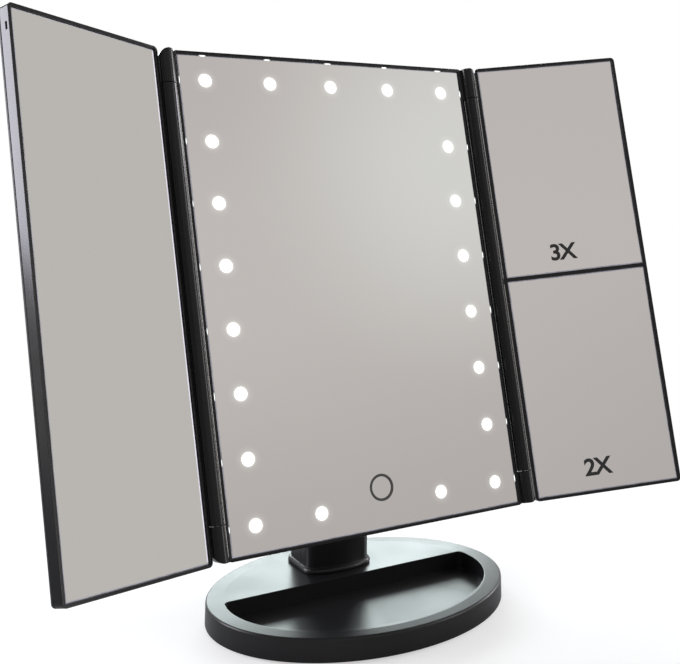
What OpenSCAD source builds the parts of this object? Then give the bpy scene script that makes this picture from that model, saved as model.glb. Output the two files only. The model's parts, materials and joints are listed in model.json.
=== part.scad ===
// Trifold vanity mirror: an oval tray base, a neck that lets the mirror tilt,
// a centre panel with 21 lights, and two wings on round hinge posts.
// Millimetres. +Z is up, the viewer stands on the -Y side, and the origin is on
// the ground under the middle of the base.

/* [Base] */
// Length of the base, left to right, at its top rim
base_len = 159; // [150:1:200]
// Depth of the base, front to back, at its top rim
base_dep = 119; // [110:1:150]
// Height of the base's top above the ground
base_h = 12.4; // [10:0.1:18]
// How far the base's side leans out from top to bottom
base_lean = 0.4; // [0.2:0.1:3]
// Radius of the base's top outer edge
base_edge_r = 1.2; // [0.6:0.1:2]
// Wall of the base shell
base_wall = 2; // [1.6:0.1:3]
// Width of the flat rim round the tray
tray_rim = 9; // [7:0.5:14]
// Where the tray's straight back edge lies behind the base's middle
tray_back_y = 9.6; // [0:0.2:12]
// Thickness of the tray's floor
tray_floor_t = 1.4; // [1.2:0.1:2.5]
// Radius of the tray's two corners
tray_corner_r = 3; // [1.5:0.5:6]
// Thickness of the bottom cover
cover_t = 1; // [0.8:0.1:2]
// How far the rubber feet hold the base off the ground
foot_proud = 1; // [0.5:0.1:2]
// Radius of a rubber foot
foot_r = 5; // [3:0.5:7]
// Thickness of the steel weight
weight_t = 6; // [3:0.5:7]

/* [Neck] */
// Width of the neck
neck_w = 36.4; // [30:0.2:44]
// Front of the neck's bowed face
neck_front_y = 17; // [15:0.5:20]
// Back of the neck at its foot
neck_back_y = 47; // [42:0.5:50]
// How far the neck's face bows out
neck_bow = 4.2; // [2:0.2:6]
// Radius of the neck's upright edges
neck_corner_r = 6; // [3:0.5:8]
// Radius that the neck's back follows as it leans forward
neck_back_sweep = 805; // [600:5:1600]
// Wall of the neck's two shells
neck_wall = 2.2; // [1.8:0.1:4]
// Where the neck's front and rear shells meet
neck_seam_y = 30; // [28:0.5:33]
// How far the bead round the neck's foot stands out
flange_out = 1.6; // [0.8:0.2:3]
// Height of that bead
flange_h = 3; // [2:0.2:5]

/* [Tilt] */
// Tilt of the mirror back from upright, in degrees
tilt = 15.9; // [0:0.1:70]
// Height of the tilt pin above the ground
pivot_h = 156.6; // [150:0.2:200]
// Tilt pin's place, behind the middle of the base
pivot_y = 26; // [25:0.5:28]
// Tilt pin's distance behind the face of the centre glass
pivot_back = 23; // [22.5:0.5:30]
// Diameter of the tilt pin
tilt_pin_d = 6; // [4:0.5:8]
// Radius of the neck's round head and the bracket's ears
head_r = 8.8; // [8:0.2:9]
// Thickness of a bracket ear
ear_t = 4; // [3:0.5:6]
// Thickness of a friction washer
washer_t = 1.2; // [0.8:0.1:2]

/* [Centre panel] */
// Width of the centre glass
glass_w = 160; // [140:1:200]
// Height of all the glass
glass_h = 235; // [200:1:290]
// Thickness of the flat glass
glass_t = 2; // [1.8:0.1:3]
// Gap between a pane's edge and its frame
glass_gap = 0.15; // [0.1:0.05:0.4]
// Width of the thin rim round every pane
rim_w = 1.65; // [1.4:0.05:3]
// How far the rim stands in front of the glass
rim_proud = 0.6; // [0.3:0.1:1]
// Depth of the centre frame behind the face of the glass
centre_frame_d = 4.5; // [4.2:0.1:6]
// Depth of the closed centre panel behind the face of the glass
panel_d = 12; // [11.6:0.1:12.4]
// Wall of the rear housing
housing_wall = 1.8; // [1.5:0.1:2.5]
// Radius of the rear housing's corners and back edges
housing_r = 3; // [2:0.2:4]

/* [Lights and controls] */
// Distance of the side lights from the glass's side edges
light_side_in = 12.9; // [11:0.1:20]
// Height of the lowest row of lights above the glass's bottom edge
light_low_z = 12.4; // [11:0.1:16]
// Distance of the top row of lights below the glass's top edge
light_top_in = 12.5; // [11:0.1:20]
// Lights down each side
side_lights = 8; // [4:1:12]
// Diameter of a frosted light window
window_d = 6.4; // [4:0.1:8]
// Height of the touch ring's centre above the glass's bottom edge
ring_z = 19.6; // [18:0.1:30]
// Outer diameter of the touch ring
ring_d = 13.2; // [10:0.1:16]
// Width of the ring's line
ring_line = 1.3; // [0.6:0.1:2]
// How deep the ring's ink sits in the glass
ring_depth = 0.2; // [0.1:0.05:0.4]
// Travel of the slide switch
switch_travel = 3; // [2:0.5:4]

/* [Battery box] */
// Diameter of a cell
cell_d = 14.2; // [13.8:0.1:14.5]
// Length of a cell without its nub
cell_len = 49.3; // [48:0.1:49.5]
// Gap between neighbouring cells
cell_spacing = 0.7; // [0.5:0.1:2]
// Height of the battery box's lower end above the tilt pin
box_rise = 22; // [20:0.5:40]

/* [Wings] */
// Distance of each hinge axis outside the centre frame's edge
hinge_out = 4.25; // [4.1:0.05:6]
// Hinge axis in front of the centre glass's face
hinge_front = 1.2; // [0.8:0.1:2]
// Radius of the round hinge post
post_r = 3.9; // [3.4:0.1:4]
// Running gap round the post
post_gap = 0.35; // [0.3:0.05:0.6]
// Length of the short knuckle at each end of a post
knuckle_len = 16.5; // [12:0.5:24]
// How far a post's ends stop short of the frame's ends
post_short = 0.6; // [0:0.1:2]
// Radius of the rounded outer corner of a post's end
knuckle_corner_r = 5; // [3:0.5:7]
// Diameter of the steel hinge pins
hinge_pin_d = 2.4; // [1.6:0.1:3]
// Length of a hinge pin
hinge_pin_len = 32; // [24:1:40]
// Thickness of a wing
wing_t = 6.8; // [6.6:0.1:9]
// Thickness of a wing's back cover
wing_back_t = 1.6; // [1.2:0.1:2]
// Radius of the wing's corners
wing_corner_r = 2.2; // [2:0.2:5]
// Gap between the two wings when both are closed
closed_gap = 0.8; // [0.5:0.1:2]
// How far the left wing is folded forward, in degrees
fold_left = 26.8; // [0:0.1:179]
// How far the right wing is folded forward, in degrees
fold_right = 22.6; // [0:0.1:179]
// Width of the bar between the two magnifying panes
bar_w = 2; // [1.6:0.1:4]
// Radius of the hollow face of the 2X pane
pane_2x_r = 2600; // [1500:50:4000]
// Radius of the hollow face of the 3X pane
pane_3x_r = 1800; // [1400:50:4000]

/* [Hidden] */
$fn = 96;

plastic = [0.09, 0.09, 0.1];
steel = [0.72, 0.73, 0.75];
mirror_grey = [0.73, 0.71, 0.69];
board_green = [0.1, 0.32, 0.2];
pad_white = [0.85, 0.85, 0.82];

big = 400;             // longer than the whole object, for cutting tools
eps = 0.05;            // overlap of joined shapes, and reach of cuts past a face
run_gap = 0.05;        // radial clearance of a pin that turns in its bore
seat_gap = 0.02;       // radial clearance of a pin or screw that is pressed home
part_gap = 0.3;        // clearance between pieces that move past each other
screw_r = 1.3;
screw_head_r = 2.5;
screw_head_h = 1.5;
screw_tip_room = 0.5;  // bore past a screw's tip
screw_slack = 0.2;     // radial play of a screw where it only passes through
head_slack = 0.3;      // radial play round a screw's head
boss_wall = 1.7;
boss_r = screw_r + boss_wall;
oval_steps = 120;      // sides of the polygon that follows the base's oval
edge_steps = 4;        // steps round the base's top edge
corner_steps = 8;      // steps round a small corner
bow_steps = 12;        // steps along half of the neck's bow

// Base, seen from the side
oval_a = base_len / 2;
oval_b = base_dep / 2;
shell_low_z = foot_proud;
cover_z = shell_low_z;
cover_top_z = cover_z + cover_t;
tray_floor_z = cover_top_z + tray_floor_t;
deck_low_z = base_h - base_wall;
foot_seat = 0.5;       // how deep a foot sits in the cover
foot_at = [oval_a - 46.5, oval_b - 16.5];
cover_screw_at = [[oval_a - 21, 18.5], [17, oval_b - 9.5]];
cover_screw_len = 7;
cover_screw_head_h = 0.8;
cover_screw_sunk = 0.1;
cover_cup_r = screw_head_r + head_slack + 1.2;    // cups of the cover round its screws
cover_cup_h = 0.9;
cover_gap = 0.15;
weight_margin = 9;     // weight's edge, inside the base's rim
weight_gap = 0.4;
weight_lift = 0.05;

// Neck
neck_half = neck_w / 2;
// x, front y and rear y of the screws under the neck
neck_screw_at = [neck_half - 7.2, neck_seam_y - 3.5, neck_back_y - 6];
neck_screw_grip = 4.5;
neck_low_z = base_h;
bow_r = (pow(neck_half, 2) + pow(neck_bow, 2)) / (2 * neck_bow);
neck_sweep_angle = 12;
shell_screw_z = [46, 104];
shell_screw_seat = 3.5;           // plastic between the seam and the screw's head
shell_screw_grip = 8;
bead_arc = [-30, 80];   // start and end of the bead's round face, in degrees
bead_steps = 7;
neck_room_low_z = neck_low_z + neck_screw_grip + 2;
neck_room_high_z = pivot_h - head_r - 6;
neck_room_front_y = neck_front_y + neck_bow + neck_wall + 1;
neck_room_back_y = pivot_y + head_r - neck_wall - 1.5;

// Tilt joint, in the mirror's own frame: x right, y back from the face of the
// centre glass, z up from its bottom edge
pivot_up = glass_h / 2;
ear_x = neck_half + 2 * part_gap / 2 + washer_t;
bracket_plate_t = 2;
bracket_h = 40;
bracket_margin = 9;
bracket_corner_r = 3;
bracket_screw_in = [4.5, 5];      // screws, in from the plate's side and end
bracket_screw_grip = 4.5;
bracket_w = 2 * (ear_x + ear_t + bracket_margin);
pin_half = ear_x + ear_t;
cap_t = 2.2;
cap_wall = 2.2;
cap_r = tilt_pin_d / 2 + cap_wall;
washer_in = 0.8;                  // washer's edge, inside the round head

// Centre panel
panel_low_z = -rim_w;
panel_high_z = glass_h + rim_w;
panel_half = glass_w / 2 + rim_w;
frame_lip = 5.5;       // width of the ledge behind the glass
frame_corner_r = 1.5;
ledge_corner_r = 2;
window_r = window_d / 2;
board_t = 1;
light_board_y = 3.2;
light_board_w = 10;
light_x = glass_w / 2 - light_side_in;
light_high_z = glass_h - light_top_in;
chip_gap = 0.2;
chip_size = [3.4, 3.4];
light_xs = [-light_x, light_x];
light_step = (light_high_z - light_low_z) / (side_lights - 1);
light_places = concat(
    [for (x = light_xs, i = [0 : side_lights - 1]) [x, light_low_z + i * light_step]],
    [for (x = [-light_x / 2, 0, light_x / 2]) [x, light_high_z]],
    [for (x = [-light_x / 2, light_x / 2]) [x, light_low_z]]
);
touch_board_size = 20;
touch_board_t = 0.8;
control_y = 6;
control_half = 58;
control_z = 46;
control_board_h = 24;
control_boss_x = [-36, 36];
// Parts on the boards: x and z from the board's middle, sizes across, up and deep
board_chip_at = [[-22, 3], [16, -4]];
board_chip_size = [6, 5, 1.2];
touch_chip_size = [4.4, 4.4, 0.9];
coil_at = [2, 3];
coil_r = 3.2;
coil_core_r = 2.3;
coil_h = 2.4;
coil_rim_t = 0.5;
can_at = [[-10, 5], [-10, -5]];
can_r = 2;
can_h = 2.6;
wire_socket_at = [[25, 5.5], [-29, 5.5], [9.5, 5.5]];
wire_socket_size = [6, 5, 2.7];
wire_socket_wall = 0.7;
usb_x = 49;
usb_w = 7.6;
usb_h = 2.9;
usb_wall = 0.4;
switch_x = -49;
switch_body_w = 13;
switch_body_h = 7;
switch_wall = 1.2;
slider_w = 4.2;
slider_h = 3.2;
slider_foot_w = 6.4;
slider_foot_h = 4.2;
slider_foot_t = 0.9;
slider_proud = 0.6;
slider_groove = [1.1, 0.5, 0.4];  // pitch, width and depth of its grip grooves
dish_depth = 0.8;
dish_r = 2;
switch_dish = [7.5, 4.5];         // half sizes of the dishes round the slider and the socket
usb_dish = [6.5, 4];
usb_slack = 0.5;
inner_back_y = panel_d - housing_wall;
housing_screw_x = panel_half - 4.65;
housing_screw_z = [16, glass_h / 2, glass_h - 16];
housing_screw_sunk = 2.6;         // how deep a screw's head sits in the housing
housing_boss_r = boss_r + 0.8;
board_rib_t = 1.2;
board_rib_in = 14;                // rib's end, inside the board's end

// Battery box
cell_pitch = cell_d + cell_spacing;
bay_half = 2 * cell_pitch + 0.2;
bay_low_z = pivot_up + box_rise + housing_wall;
contact_t = 0.4;
spring_len = 3.2;
nub_len = 1;
nub_r = 2.7;
bay_len = cell_len + nub_len + spring_len + 2 * contact_t + 0.3;
bay_high_z = bay_low_z + bay_len;
bay_front_y = 5.6;
box_front_wall = 1.2;
cell_gap = 0.2;
cell_y = bay_front_y + cell_gap + cell_d / 2;
door_t = 1.6;
door_low_y = cell_y + cell_d / 2 + cell_gap;
box_back_y = door_low_y + door_t;
box_wall = 3.2;
box_half = bay_half + box_wall;
box_low_z = bay_low_z - housing_wall;
box_high_z = bay_high_z + housing_wall;
door_half = bay_half + 0.6;
door_low_z = bay_low_z - 0.6;
tongue_out = 1.2;
tongue_t = 0.8;
tongue_y = door_low_y + 0.3;
tongue_short = 3;      // how far the tongues stop short of the door's upper edge
door_slack = 0.25;
box_corner_r = 2.5;
grip_half = 12;
grip_count = 5;
grip_pitch = 2.2;
grip_w = 1;
grip_depth = 0.5;
grip_down = 14;        // lowest groove, below the door's upper edge
contact_half = 5.5;
contact_in = [1.5, 2]; // contact plate's edges, inside the battery room's front and the door
spring_wide_r = 4.6;
spring_narrow_r = 3;
spring_wire = 0.8;

// Wings, in the hinge's own frame: x out from the axis, y back, z up
hinge_x = panel_half + hinge_out;
wing_in = post_r + post_gap;
wing_out = hinge_x - closed_gap / 2;
wing_face_y = hinge_front - rim_proud + 0.4;   // face of the wing's glass behind the axis
wing_front_y = wing_face_y - rim_proud;
wing_rear_y = wing_front_y + wing_t;
wing_back_y = wing_rear_y - wing_back_t;
wing_ledge = 4;
ledge_t = 1;
magnifier_t = 2.4;
hollow_rings = 18;     // steps from the middle of a hollow pane to its rim
pad_w = 10;
pad_side = 12;         // pad's outer edge, inside the pane's side
pad_end = 18;          // pad's end, inside the pane's end
pad_gap = 0.02;        // between a pad and the back cover
bar_mid_z = glass_h / 2;
post_low_z = panel_low_z + post_short;
post_high_z = panel_high_z - post_short;
barrel_low_z = post_low_z + knuckle_len + part_gap;
barrel_high_z = post_high_z - knuckle_len - part_gap;
knuckle_bore = 13;
slot_len = 3.2;
slot_h = 1;
slot_depth = 0.9;
slot_down = 8;
slot_back = 1.3;       // slot's front edge, behind the rim's front

// ---- placing ----

// Puts something drawn in the mirror's frame where the tilted mirror is.
module on_mirror() {
    translate([0, pivot_y, pivot_h]) rotate([-tilt, 0, 0])
        translate([0, -pivot_back, -pivot_up]) children();
}

// Puts something drawn in a wing's frame on the right wing.
module on_right_wing() {
    on_mirror() translate([hinge_x, -hinge_front, 0]) rotate([0, 0, -fold_right]) children();
}

// Puts something drawn in a wing's frame on the left wing.
module on_left_wing() {
    on_mirror() mirror([1, 0, 0])
        translate([hinge_x, -hinge_front, 0]) rotate([0, 0, -fold_left]) children();
}

// ---- shapes ----

module block(low, high) {
    translate(low) cube(high - low);
}

// A cylinder along y from y0 to y1, at x and z.
module rod_y(x, z, y0, y1, r) {
    translate([x, y1, z]) rotate([90, 0, 0]) cylinder(r = r, h = y1 - y0);
}

// A cylinder along x.
module rod_x(y, z, x0, x1, r) {
    translate([x0, y, z]) rotate([0, 90, 0]) cylinder(r = r, h = x1 - x0);
}

module rounded_rect(low, high, r) {
    translate([low.x + r, low.y]) square([high.x - low.x - 2 * r, high.y - low.y]);
    translate([low.x, low.y + r]) square([high.x - low.x, high.y - low.y - 2 * r]);
    for (x = [low.x + r, high.x - r], y = [low.y + r, high.y - r])
        translate([x, y]) circle(r = r);
}

// A flat shape drawn in x and z, made solid from y0 back to y1.
module upright(y0, y1) {
    translate([0, y1, 0]) rotate([90, 0, 0]) linear_extrude(y1 - y0) children();
}

// A pan-head screw that points along +z, its head's top at z = 0.
module screw(len, r = screw_r, head_r = screw_head_r, head_h = screw_head_h) {
    difference() {
        union() {
            cylinder(r = head_r, h = head_h);
            cylinder(r = r, h = len);
        }
        for (turn = [0, 90]) rotate([0, 0, turn])
            translate([0, 0, head_h / 4]) cube([head_r * 1.1, 0.6, head_h / 2 + eps], center = true);
    }
}

// A closed body skinned over a stack of outlines, each a list of flat points and
// its height, lowest first, all with the same number of points.
module stack(layers) {
    n = len(layers[0][0]);
    points = [for (layer = layers) for (p = layer[0]) [p.x, p.y, layer[1]]];
    top = n * (len(layers) - 1);
    sides = [
        for (low = [0 : n : top - n], i = [0 : n - 1])
            let (next = (i + 1) % n)
            [low + n + i, low + n + next, low + next, low + i]
    ];
    halves = [for (q = sides) for (f = [[q[0], q[1], q[2]], [q[0], q[2], q[3]]]) f];
    caps = [[for (i = [0 : n - 1]) i], [for (i = [n - 1 : -1 : 0]) top + i]];
    polyhedron(points, concat(halves, caps));
}

// ---- base ----

// Corners of the oval, inset from the base's top rim.
function oval_points(inset) = [
    for (i = [0 : oval_steps - 1])
        let (t = 360 * i / oval_steps)
        [(oval_a - inset) * cos(t), (oval_b - inset) * sin(t)]
];

module oval(inset) {
    polygon(oval_points(inset));
}

// The base's outer body: a stack of ovals whose side leans out to the ground and
// whose top edge is rounded.
module base_body() {
    foot = [oval_points(-base_lean), shell_low_z];
    edge = [
        for (i = [0 : edge_steps])
            let (t = 90 * i / edge_steps)
            [oval_points(base_edge_r * (1 - cos(t))), base_h - base_edge_r * (1 - sin(t))]
    ];
    stack(concat([foot], edge));
}

// The tray's outline: the oval, inset by the rim, in front of a straight back
// edge with two rounded corners.
module tray_outline(grow = 0) {
    a = oval_a - tray_rim + grow;
    b = oval_b - tray_rim + grow;
    r = tray_corner_r + grow;
    mid_y = tray_back_y + grow - r;
    mid_x = (a - r) * sqrt(1 - pow(mid_y / (b - r), 2));
    turn = atan2(mid_y / pow(b - r, 2), mid_x / pow(a - r, 2));
    meet = [mid_x + r * cos(turn), mid_y + r * sin(turn)];
    start = atan2(meet.y / b, meet.x / a);
    right = [
        for (i = [0 : corner_steps])
            let (t = turn + (90 - turn) * i / corner_steps)
            [mid_x + r * cos(t), mid_y + r * sin(t)]
    ];
    left = [for (i = [corner_steps : -1 : 0]) [-right[i].x, right[i].y]];
    front_steps = oval_steps / 2;
    front = [
        for (i = [1 : front_steps - 1])
            let (t = 180 - start + (180 + 2 * start) * i / front_steps)
            [a * cos(t), b * sin(t)]
    ];
    polygon(concat(right, left, front));
}

module neck_screw_places() {
    for (x = [-neck_screw_at[0], neck_screw_at[0]], y = [neck_screw_at[1], neck_screw_at[2]])
        translate([x, y, 0]) children();
}

module cover_screw_places() {
    for (p = cover_screw_at, side = [-1, 1]) translate([side * p.x, p.y, 0]) children();
}

module foot_places() {
    for (x = [-foot_at[0], foot_at[0]], y = [-foot_at[1], foot_at[1]])
        translate([x, y, 0]) children();
}

module base_shell() color(plastic) difference() {
    union() {
        difference() {
            base_body();
            // hollow under the deck and round the tray
            translate([0, 0, -eps]) linear_extrude(deck_low_z + eps) difference() {
                oval(base_edge_r + base_wall);
                tray_outline(base_wall);
            }
            // room for the bottom cover under the tray
            translate([0, 0, -eps]) linear_extrude(cover_top_z + eps)
                oval(base_edge_r + base_wall);
        }
        cover_screw_places() translate([0, 0, cover_top_z + cover_cup_h])
            cylinder(r = boss_r, h = deck_low_z + eps - cover_top_z - cover_cup_h);
    }
    translate([0, 0, tray_floor_z]) linear_extrude(base_h) tray_outline();
    cover_screw_places() cylinder(
        r = screw_r + seat_gap,
        h = cover_z + cover_screw_sunk + cover_screw_len + screw_tip_room);
    neck_screw_places() cylinder(r = screw_r + seat_gap, h = base_h + 1);
}

module base_cover() color(plastic) difference() {
    union() {
        translate([0, 0, cover_z]) linear_extrude(cover_t)
            oval(base_edge_r + base_wall + cover_gap);
        cover_screw_places() translate([0, 0, cover_z])
            cylinder(r = cover_cup_r, h = cover_t + cover_cup_h);
    }
    foot_places() cylinder(r = foot_r + seat_gap, h = cover_z + foot_seat);
    cover_screw_places() {
        cylinder(r = screw_r + screw_slack, h = base_h);
        cylinder(r = screw_head_r + head_slack,
                 h = cover_z + cover_screw_sunk + cover_screw_head_h);
    }
    neck_screw_places() cylinder(r = screw_head_r + 0.5, h = base_h);
}

module base_weight() color(steel) difference() {
    translate([0, 0, cover_top_z + weight_lift]) linear_extrude(weight_t) difference() {
        intersection() {
            oval(weight_margin);
            translate([-big / 2, tray_back_y + base_wall + 1]) square([big, big]);
        }
        for (p = cover_screw_at, side = [-1, 1])
            translate([side * p.x, p.y]) circle(r = cover_cup_r + weight_gap);
    }
    neck_screw_places() cylinder(r = screw_head_r + 0.5, h = base_h);
}

module base_feet() color([0.15, 0.15, 0.15]) foot_places()
    cylinder(r = foot_r, h = cover_z + foot_seat);

module cover_screws() color(steel) cover_screw_places()
    translate([0, 0, cover_z + cover_screw_sunk])
        screw(len = cover_screw_len, head_h = cover_screw_head_h);

// ---- neck ----

// The right half of the neck's front outline from above, grown all round: a bowed
// front that runs smoothly into a rounded edge.
function neck_front_right(grow) =
    let (half = neck_half + grow,
         r = neck_corner_r + grow,
         front_r = bow_r + grow,
         bow_mid_y = neck_front_y + bow_r,
         corner_x = half - r,
         corner_y = bow_mid_y - sqrt(pow(front_r - r, 2) - pow(corner_x, 2)),
         lean = asin(corner_x / (front_r - r)))
    concat(
        [for (i = [1 : bow_steps])
            let (t = lean * i / bow_steps)
            [front_r * sin(t), bow_mid_y - front_r * cos(t)]],
        [for (i = [1 : corner_steps])
            let (t = lean + (90 - lean) * i / corner_steps)
            [corner_x + r * sin(t), corner_y - r * cos(t)]]);

// The right half of the neck's back outline at its foot, grown all round.
function neck_back_right(grow) =
    let (corner_x = neck_half - neck_corner_r,
         corner_y = neck_back_y - neck_corner_r,
         r = neck_corner_r + grow)
    [for (i = [0 : corner_steps])
        let (t = 90 * i / corner_steps)
        [corner_x + r * cos(t), corner_y + r * sin(t)]];

// A closed outline from its right half, which runs from front to back.
function mirrored(right, start) =
    concat([start], right, [for (i = [len(right) - 1 : -1 : 0]) [-right[i].x, right[i].y]]);

// The neck's outline at its foot, from above, grown all round.
function neck_foot_points(grow) =
    mirrored(concat(neck_front_right(grow), neck_back_right(grow)), [0, neck_front_y - grow]);

// The neck's front half from above, square at the seam.
module neck_plan() {
    polygon(mirrored(concat(neck_front_right(0), [[neck_half, neck_seam_y]]), [0, neck_front_y]));
}

// The rounded bead round the neck's foot.
module neck_bead() {
    low = sin(bead_arc[0]);
    high = sin(bead_arc[1]);
    stack([
        for (i = [0 : bead_steps])
            let (t = bead_arc[0] + (bead_arc[1] - bead_arc[0]) * i / bead_steps)
            [neck_foot_points(flange_out * cos(t)),
             neck_low_z + flange_h * (sin(t) - low) / (high - low)]
    ]);
}

// The neck's back, rounded at both corners, as a flat shape whose x is the depth
// behind the seam and whose y runs across the neck.
module neck_back_section() {
    deep = neck_back_y - neck_seam_y;
    r = neck_corner_r;
    translate([0, -neck_half]) square([deep - r, 2 * neck_half]);
    translate([0, -neck_half + r]) square([deep, 2 * (neck_half - r)]);
    for (y = [-neck_half + r, neck_half - r]) translate([deep - r, y]) circle(r = r);
}

// The swept back of the neck: it leans forward as it rises.
module neck_back_sweep_solid() {
    foot_r_c = neck_back_sweep - (neck_back_y - neck_seam_y);
    translate([0, neck_back_y - neck_back_sweep, neck_low_z]) rotate([90, 0, 90])
        rotate_extrude(angle = neck_sweep_angle, $fn = 256)
            translate([foot_r_c, 0]) neck_back_section($fn = 64);
}

// All that lies below the round head, seen from the side.
module under_head() {
    block([-big, -big, 0], [big, big, pivot_h]);
    rod_x(pivot_y, pivot_h, -big, big, head_r);
}

module neck_room() {
    in = neck_half - neck_wall;
    block([-in, neck_room_front_y, neck_room_low_z], [in, neck_room_back_y, neck_room_high_z]);
}

module neck_screw_bores() {
    neck_screw_places()
        cylinder(r = screw_r + seat_gap, h = neck_low_z + neck_screw_grip + screw_tip_room);
}

module pivot_bore() {
    rod_x(pivot_y, pivot_h, -neck_w, neck_w, tilt_pin_d / 2 + run_gap);
}

module neck_front() color(plastic) difference() {
    union() {
        intersection() {
            translate([0, 0, neck_low_z]) linear_extrude(pivot_h) neck_plan();
            under_head();
        }
        intersection() {
            neck_bead();
            block([-neck_w, 0, 0], [neck_w, neck_seam_y, big]);
        }
    }
    difference() {
        neck_room();
        for (z = shell_screw_z) rod_y(0, z, neck_front_y, neck_seam_y, boss_r);
    }
    for (z = shell_screw_z)
        rod_y(0, z, neck_seam_y - shell_screw_grip - screw_tip_room, big, screw_r + seat_gap);
    pivot_bore();
    neck_screw_bores();
}

module neck_rear() color(plastic) difference() {
    union() {
        intersection() {
            neck_back_sweep_solid();
            under_head();
            block([-neck_w, neck_seam_y, neck_low_z], [neck_w, big, big]);
        }
        intersection() {
            neck_bead();
            block([-neck_w, neck_seam_y, 0], [neck_w, big, big]);
        }
    }
    difference() {
        neck_room();
        for (z = shell_screw_z) rod_y(0, z, neck_seam_y, big / 4, boss_r);
    }
    for (z = shell_screw_z) {
        rod_y(0, z, 0, big, screw_r + screw_slack);
        rod_y(0, z, neck_seam_y + shell_screw_seat, big, screw_head_r + head_slack);
    }
    pivot_bore();
    neck_screw_bores();
}

module neck_foot_screws() color(steel) neck_screw_places()
    translate([0, 0, deck_low_z - screw_head_h])
        screw(len = screw_head_h + base_wall + neck_screw_grip);

module neck_shell_screws() color(steel) for (z = shell_screw_z)
    translate([0, neck_seam_y + shell_screw_seat + screw_head_h, z]) rotate([90, 0, 0])
        screw(len = screw_head_h + shell_screw_seat + shell_screw_grip);

// ---- centre panel ----

module panel_outline(r) {
    rounded_rect([-panel_half, panel_low_z], [panel_half, panel_high_z], r);
}

// A fixed knuckle: a round post end whose outer corner is rounded off, and the
// web that carries it. Drawn for the right-hand bottom, up to height z1.
module knuckle_body(z0, z1, round_z) {
    intersection() {
        union() {
            translate([hinge_x, -hinge_front, z0]) cylinder(r = post_r, h = z1 - z0);
            block([panel_half - rim_w / 2, -hinge_front + 0.3, z0],
                  [hinge_x, -hinge_front + post_r, z1]);
        }
        upright(-big / 8, big / 8) union() {
            edge = hinge_x + post_r;
            r = knuckle_corner_r;
            translate([0, z0]) square([edge - r, z1 - z0]);
            translate([0, round_z < 0 ? z0 + r : z0]) square([edge, z1 - z0 - r]);
            translate([edge - r, round_z < 0 ? z0 + r : z1 - r]) circle(r = r);
        }
    }
}

module knuckles() {
    for (side = [0, 1]) mirror([side, 0, 0]) {
        knuckle_body(post_low_z, post_low_z + knuckle_len, -1);
        knuckle_body(post_high_z - knuckle_len, post_high_z, 1);
    }
}

module knuckle_bores() {
    for (x = [-hinge_x, hinge_x]) translate([x, -hinge_front, 0]) {
        translate([0, 0, post_low_z + knuckle_len - knuckle_bore])
            cylinder(r = hinge_pin_d / 2 + seat_gap, h = knuckle_bore + eps);
        translate([0, 0, post_high_z - knuckle_len - eps])
            cylinder(r = hinge_pin_d / 2 + seat_gap, h = knuckle_bore + eps);
    }
}

module centre_frame() color(plastic) difference() {
    union() {
        difference() {
            upright(-rim_proud, centre_frame_d) panel_outline(frame_corner_r);
            upright(-big / 8, glass_t) rounded_rect(
                [-glass_w / 2 - glass_gap, -glass_gap],
                [glass_w / 2 + glass_gap, glass_h + glass_gap], 0.3);
            upright(glass_t - eps, big / 8) rounded_rect(
                [-glass_w / 2 + frame_lip, frame_lip],
                [glass_w / 2 - frame_lip, glass_h - frame_lip], ledge_corner_r);
        }
        knuckles();
    }
    knuckle_bores();
    housing_screw_places() rod_y(0, 0, glass_t + 0.3, big / 8, screw_r + seat_gap);
}

module centre_glass() color(mirror_grey) difference() {
    upright(0, glass_t) square_pane(-glass_w / 2, glass_w / 2, 0, glass_h);
    for (p = light_places) rod_y(p[0], p[1], -1, glass_t + 1, window_r);
    rod_y(0, ring_z, -1, ring_depth, ring_d / 2);
}

module square_pane(x0, x1, z0, z1) {
    translate([x0, z0]) square([x1 - x0, z1 - z0]);
}

module light_windows() color("white") for (p = light_places)
    rod_y(p[0], p[1], 0, glass_t, window_r);

// The inked ring, and the mirrored disc inside it.
module touch_ring() color([0.25, 0.25, 0.25]) difference() {
    rod_y(0, ring_z, 0, ring_depth, ring_d / 2);
    rod_y(0, ring_z, -1, ring_depth + 1, ring_d / 2 - ring_line);
}

module light_board() color(board_green) upright(light_board_y, light_board_y + board_t) difference() {
    half = light_board_w / 2;
    rounded_rect([-light_x - half, light_low_z - half], [light_x + half, light_high_z + half], 2);
    rounded_rect([-light_x + half, light_low_z + half], [light_x - half, light_high_z - half], 2);
}

module light_chips() color("white") for (p = light_places)
    block([p[0] - chip_size[0] / 2, glass_t + chip_gap, p[1] - chip_size[1] / 2],
          [p[0] + chip_size[0] / 2, light_board_y, p[1] + chip_size[1] / 2]);

module touch_board() color(board_green)
    block([-touch_board_size / 2, glass_t, ring_z - touch_board_size / 2],
          [touch_board_size / 2, glass_t + touch_board_t, ring_z + touch_board_size / 2]);

module control_board() color(board_green) difference() {
    block([-control_half, control_y, control_z - control_board_h / 2],
          [control_half, control_y + board_t, control_z + control_board_h / 2]);
    for (x = control_boss_x) rod_y(x, control_z, 0, big / 8, screw_r + screw_slack);
}

// A block of the given size across, up and deep, its front face's middle at the origin.
module standing_block(size) {
    translate([-size[0] / 2, 0, -size[1] / 2]) cube([size[0], size[2], size[1]]);
}

// Chips, a coil on its bobbin and two round capacitors.
module board_parts() color([0.15, 0.15, 0.16]) {
    translate([0, control_y + board_t, control_z]) {
        for (p = board_chip_at) translate([p[0], 0, p[1]]) standing_block(board_chip_size);
        rod_y(coil_at[0], coil_at[1], 0, coil_h, coil_core_r);
        for (y = [0, coil_h - coil_rim_t])
            rod_y(coil_at[0], coil_at[1], y, y + coil_rim_t, coil_r);
        for (p = can_at) rod_y(p[0], p[1], 0, can_h, can_r);
    }
    translate([0, glass_t + touch_board_t, ring_z]) standing_block(touch_chip_size);
}

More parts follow.
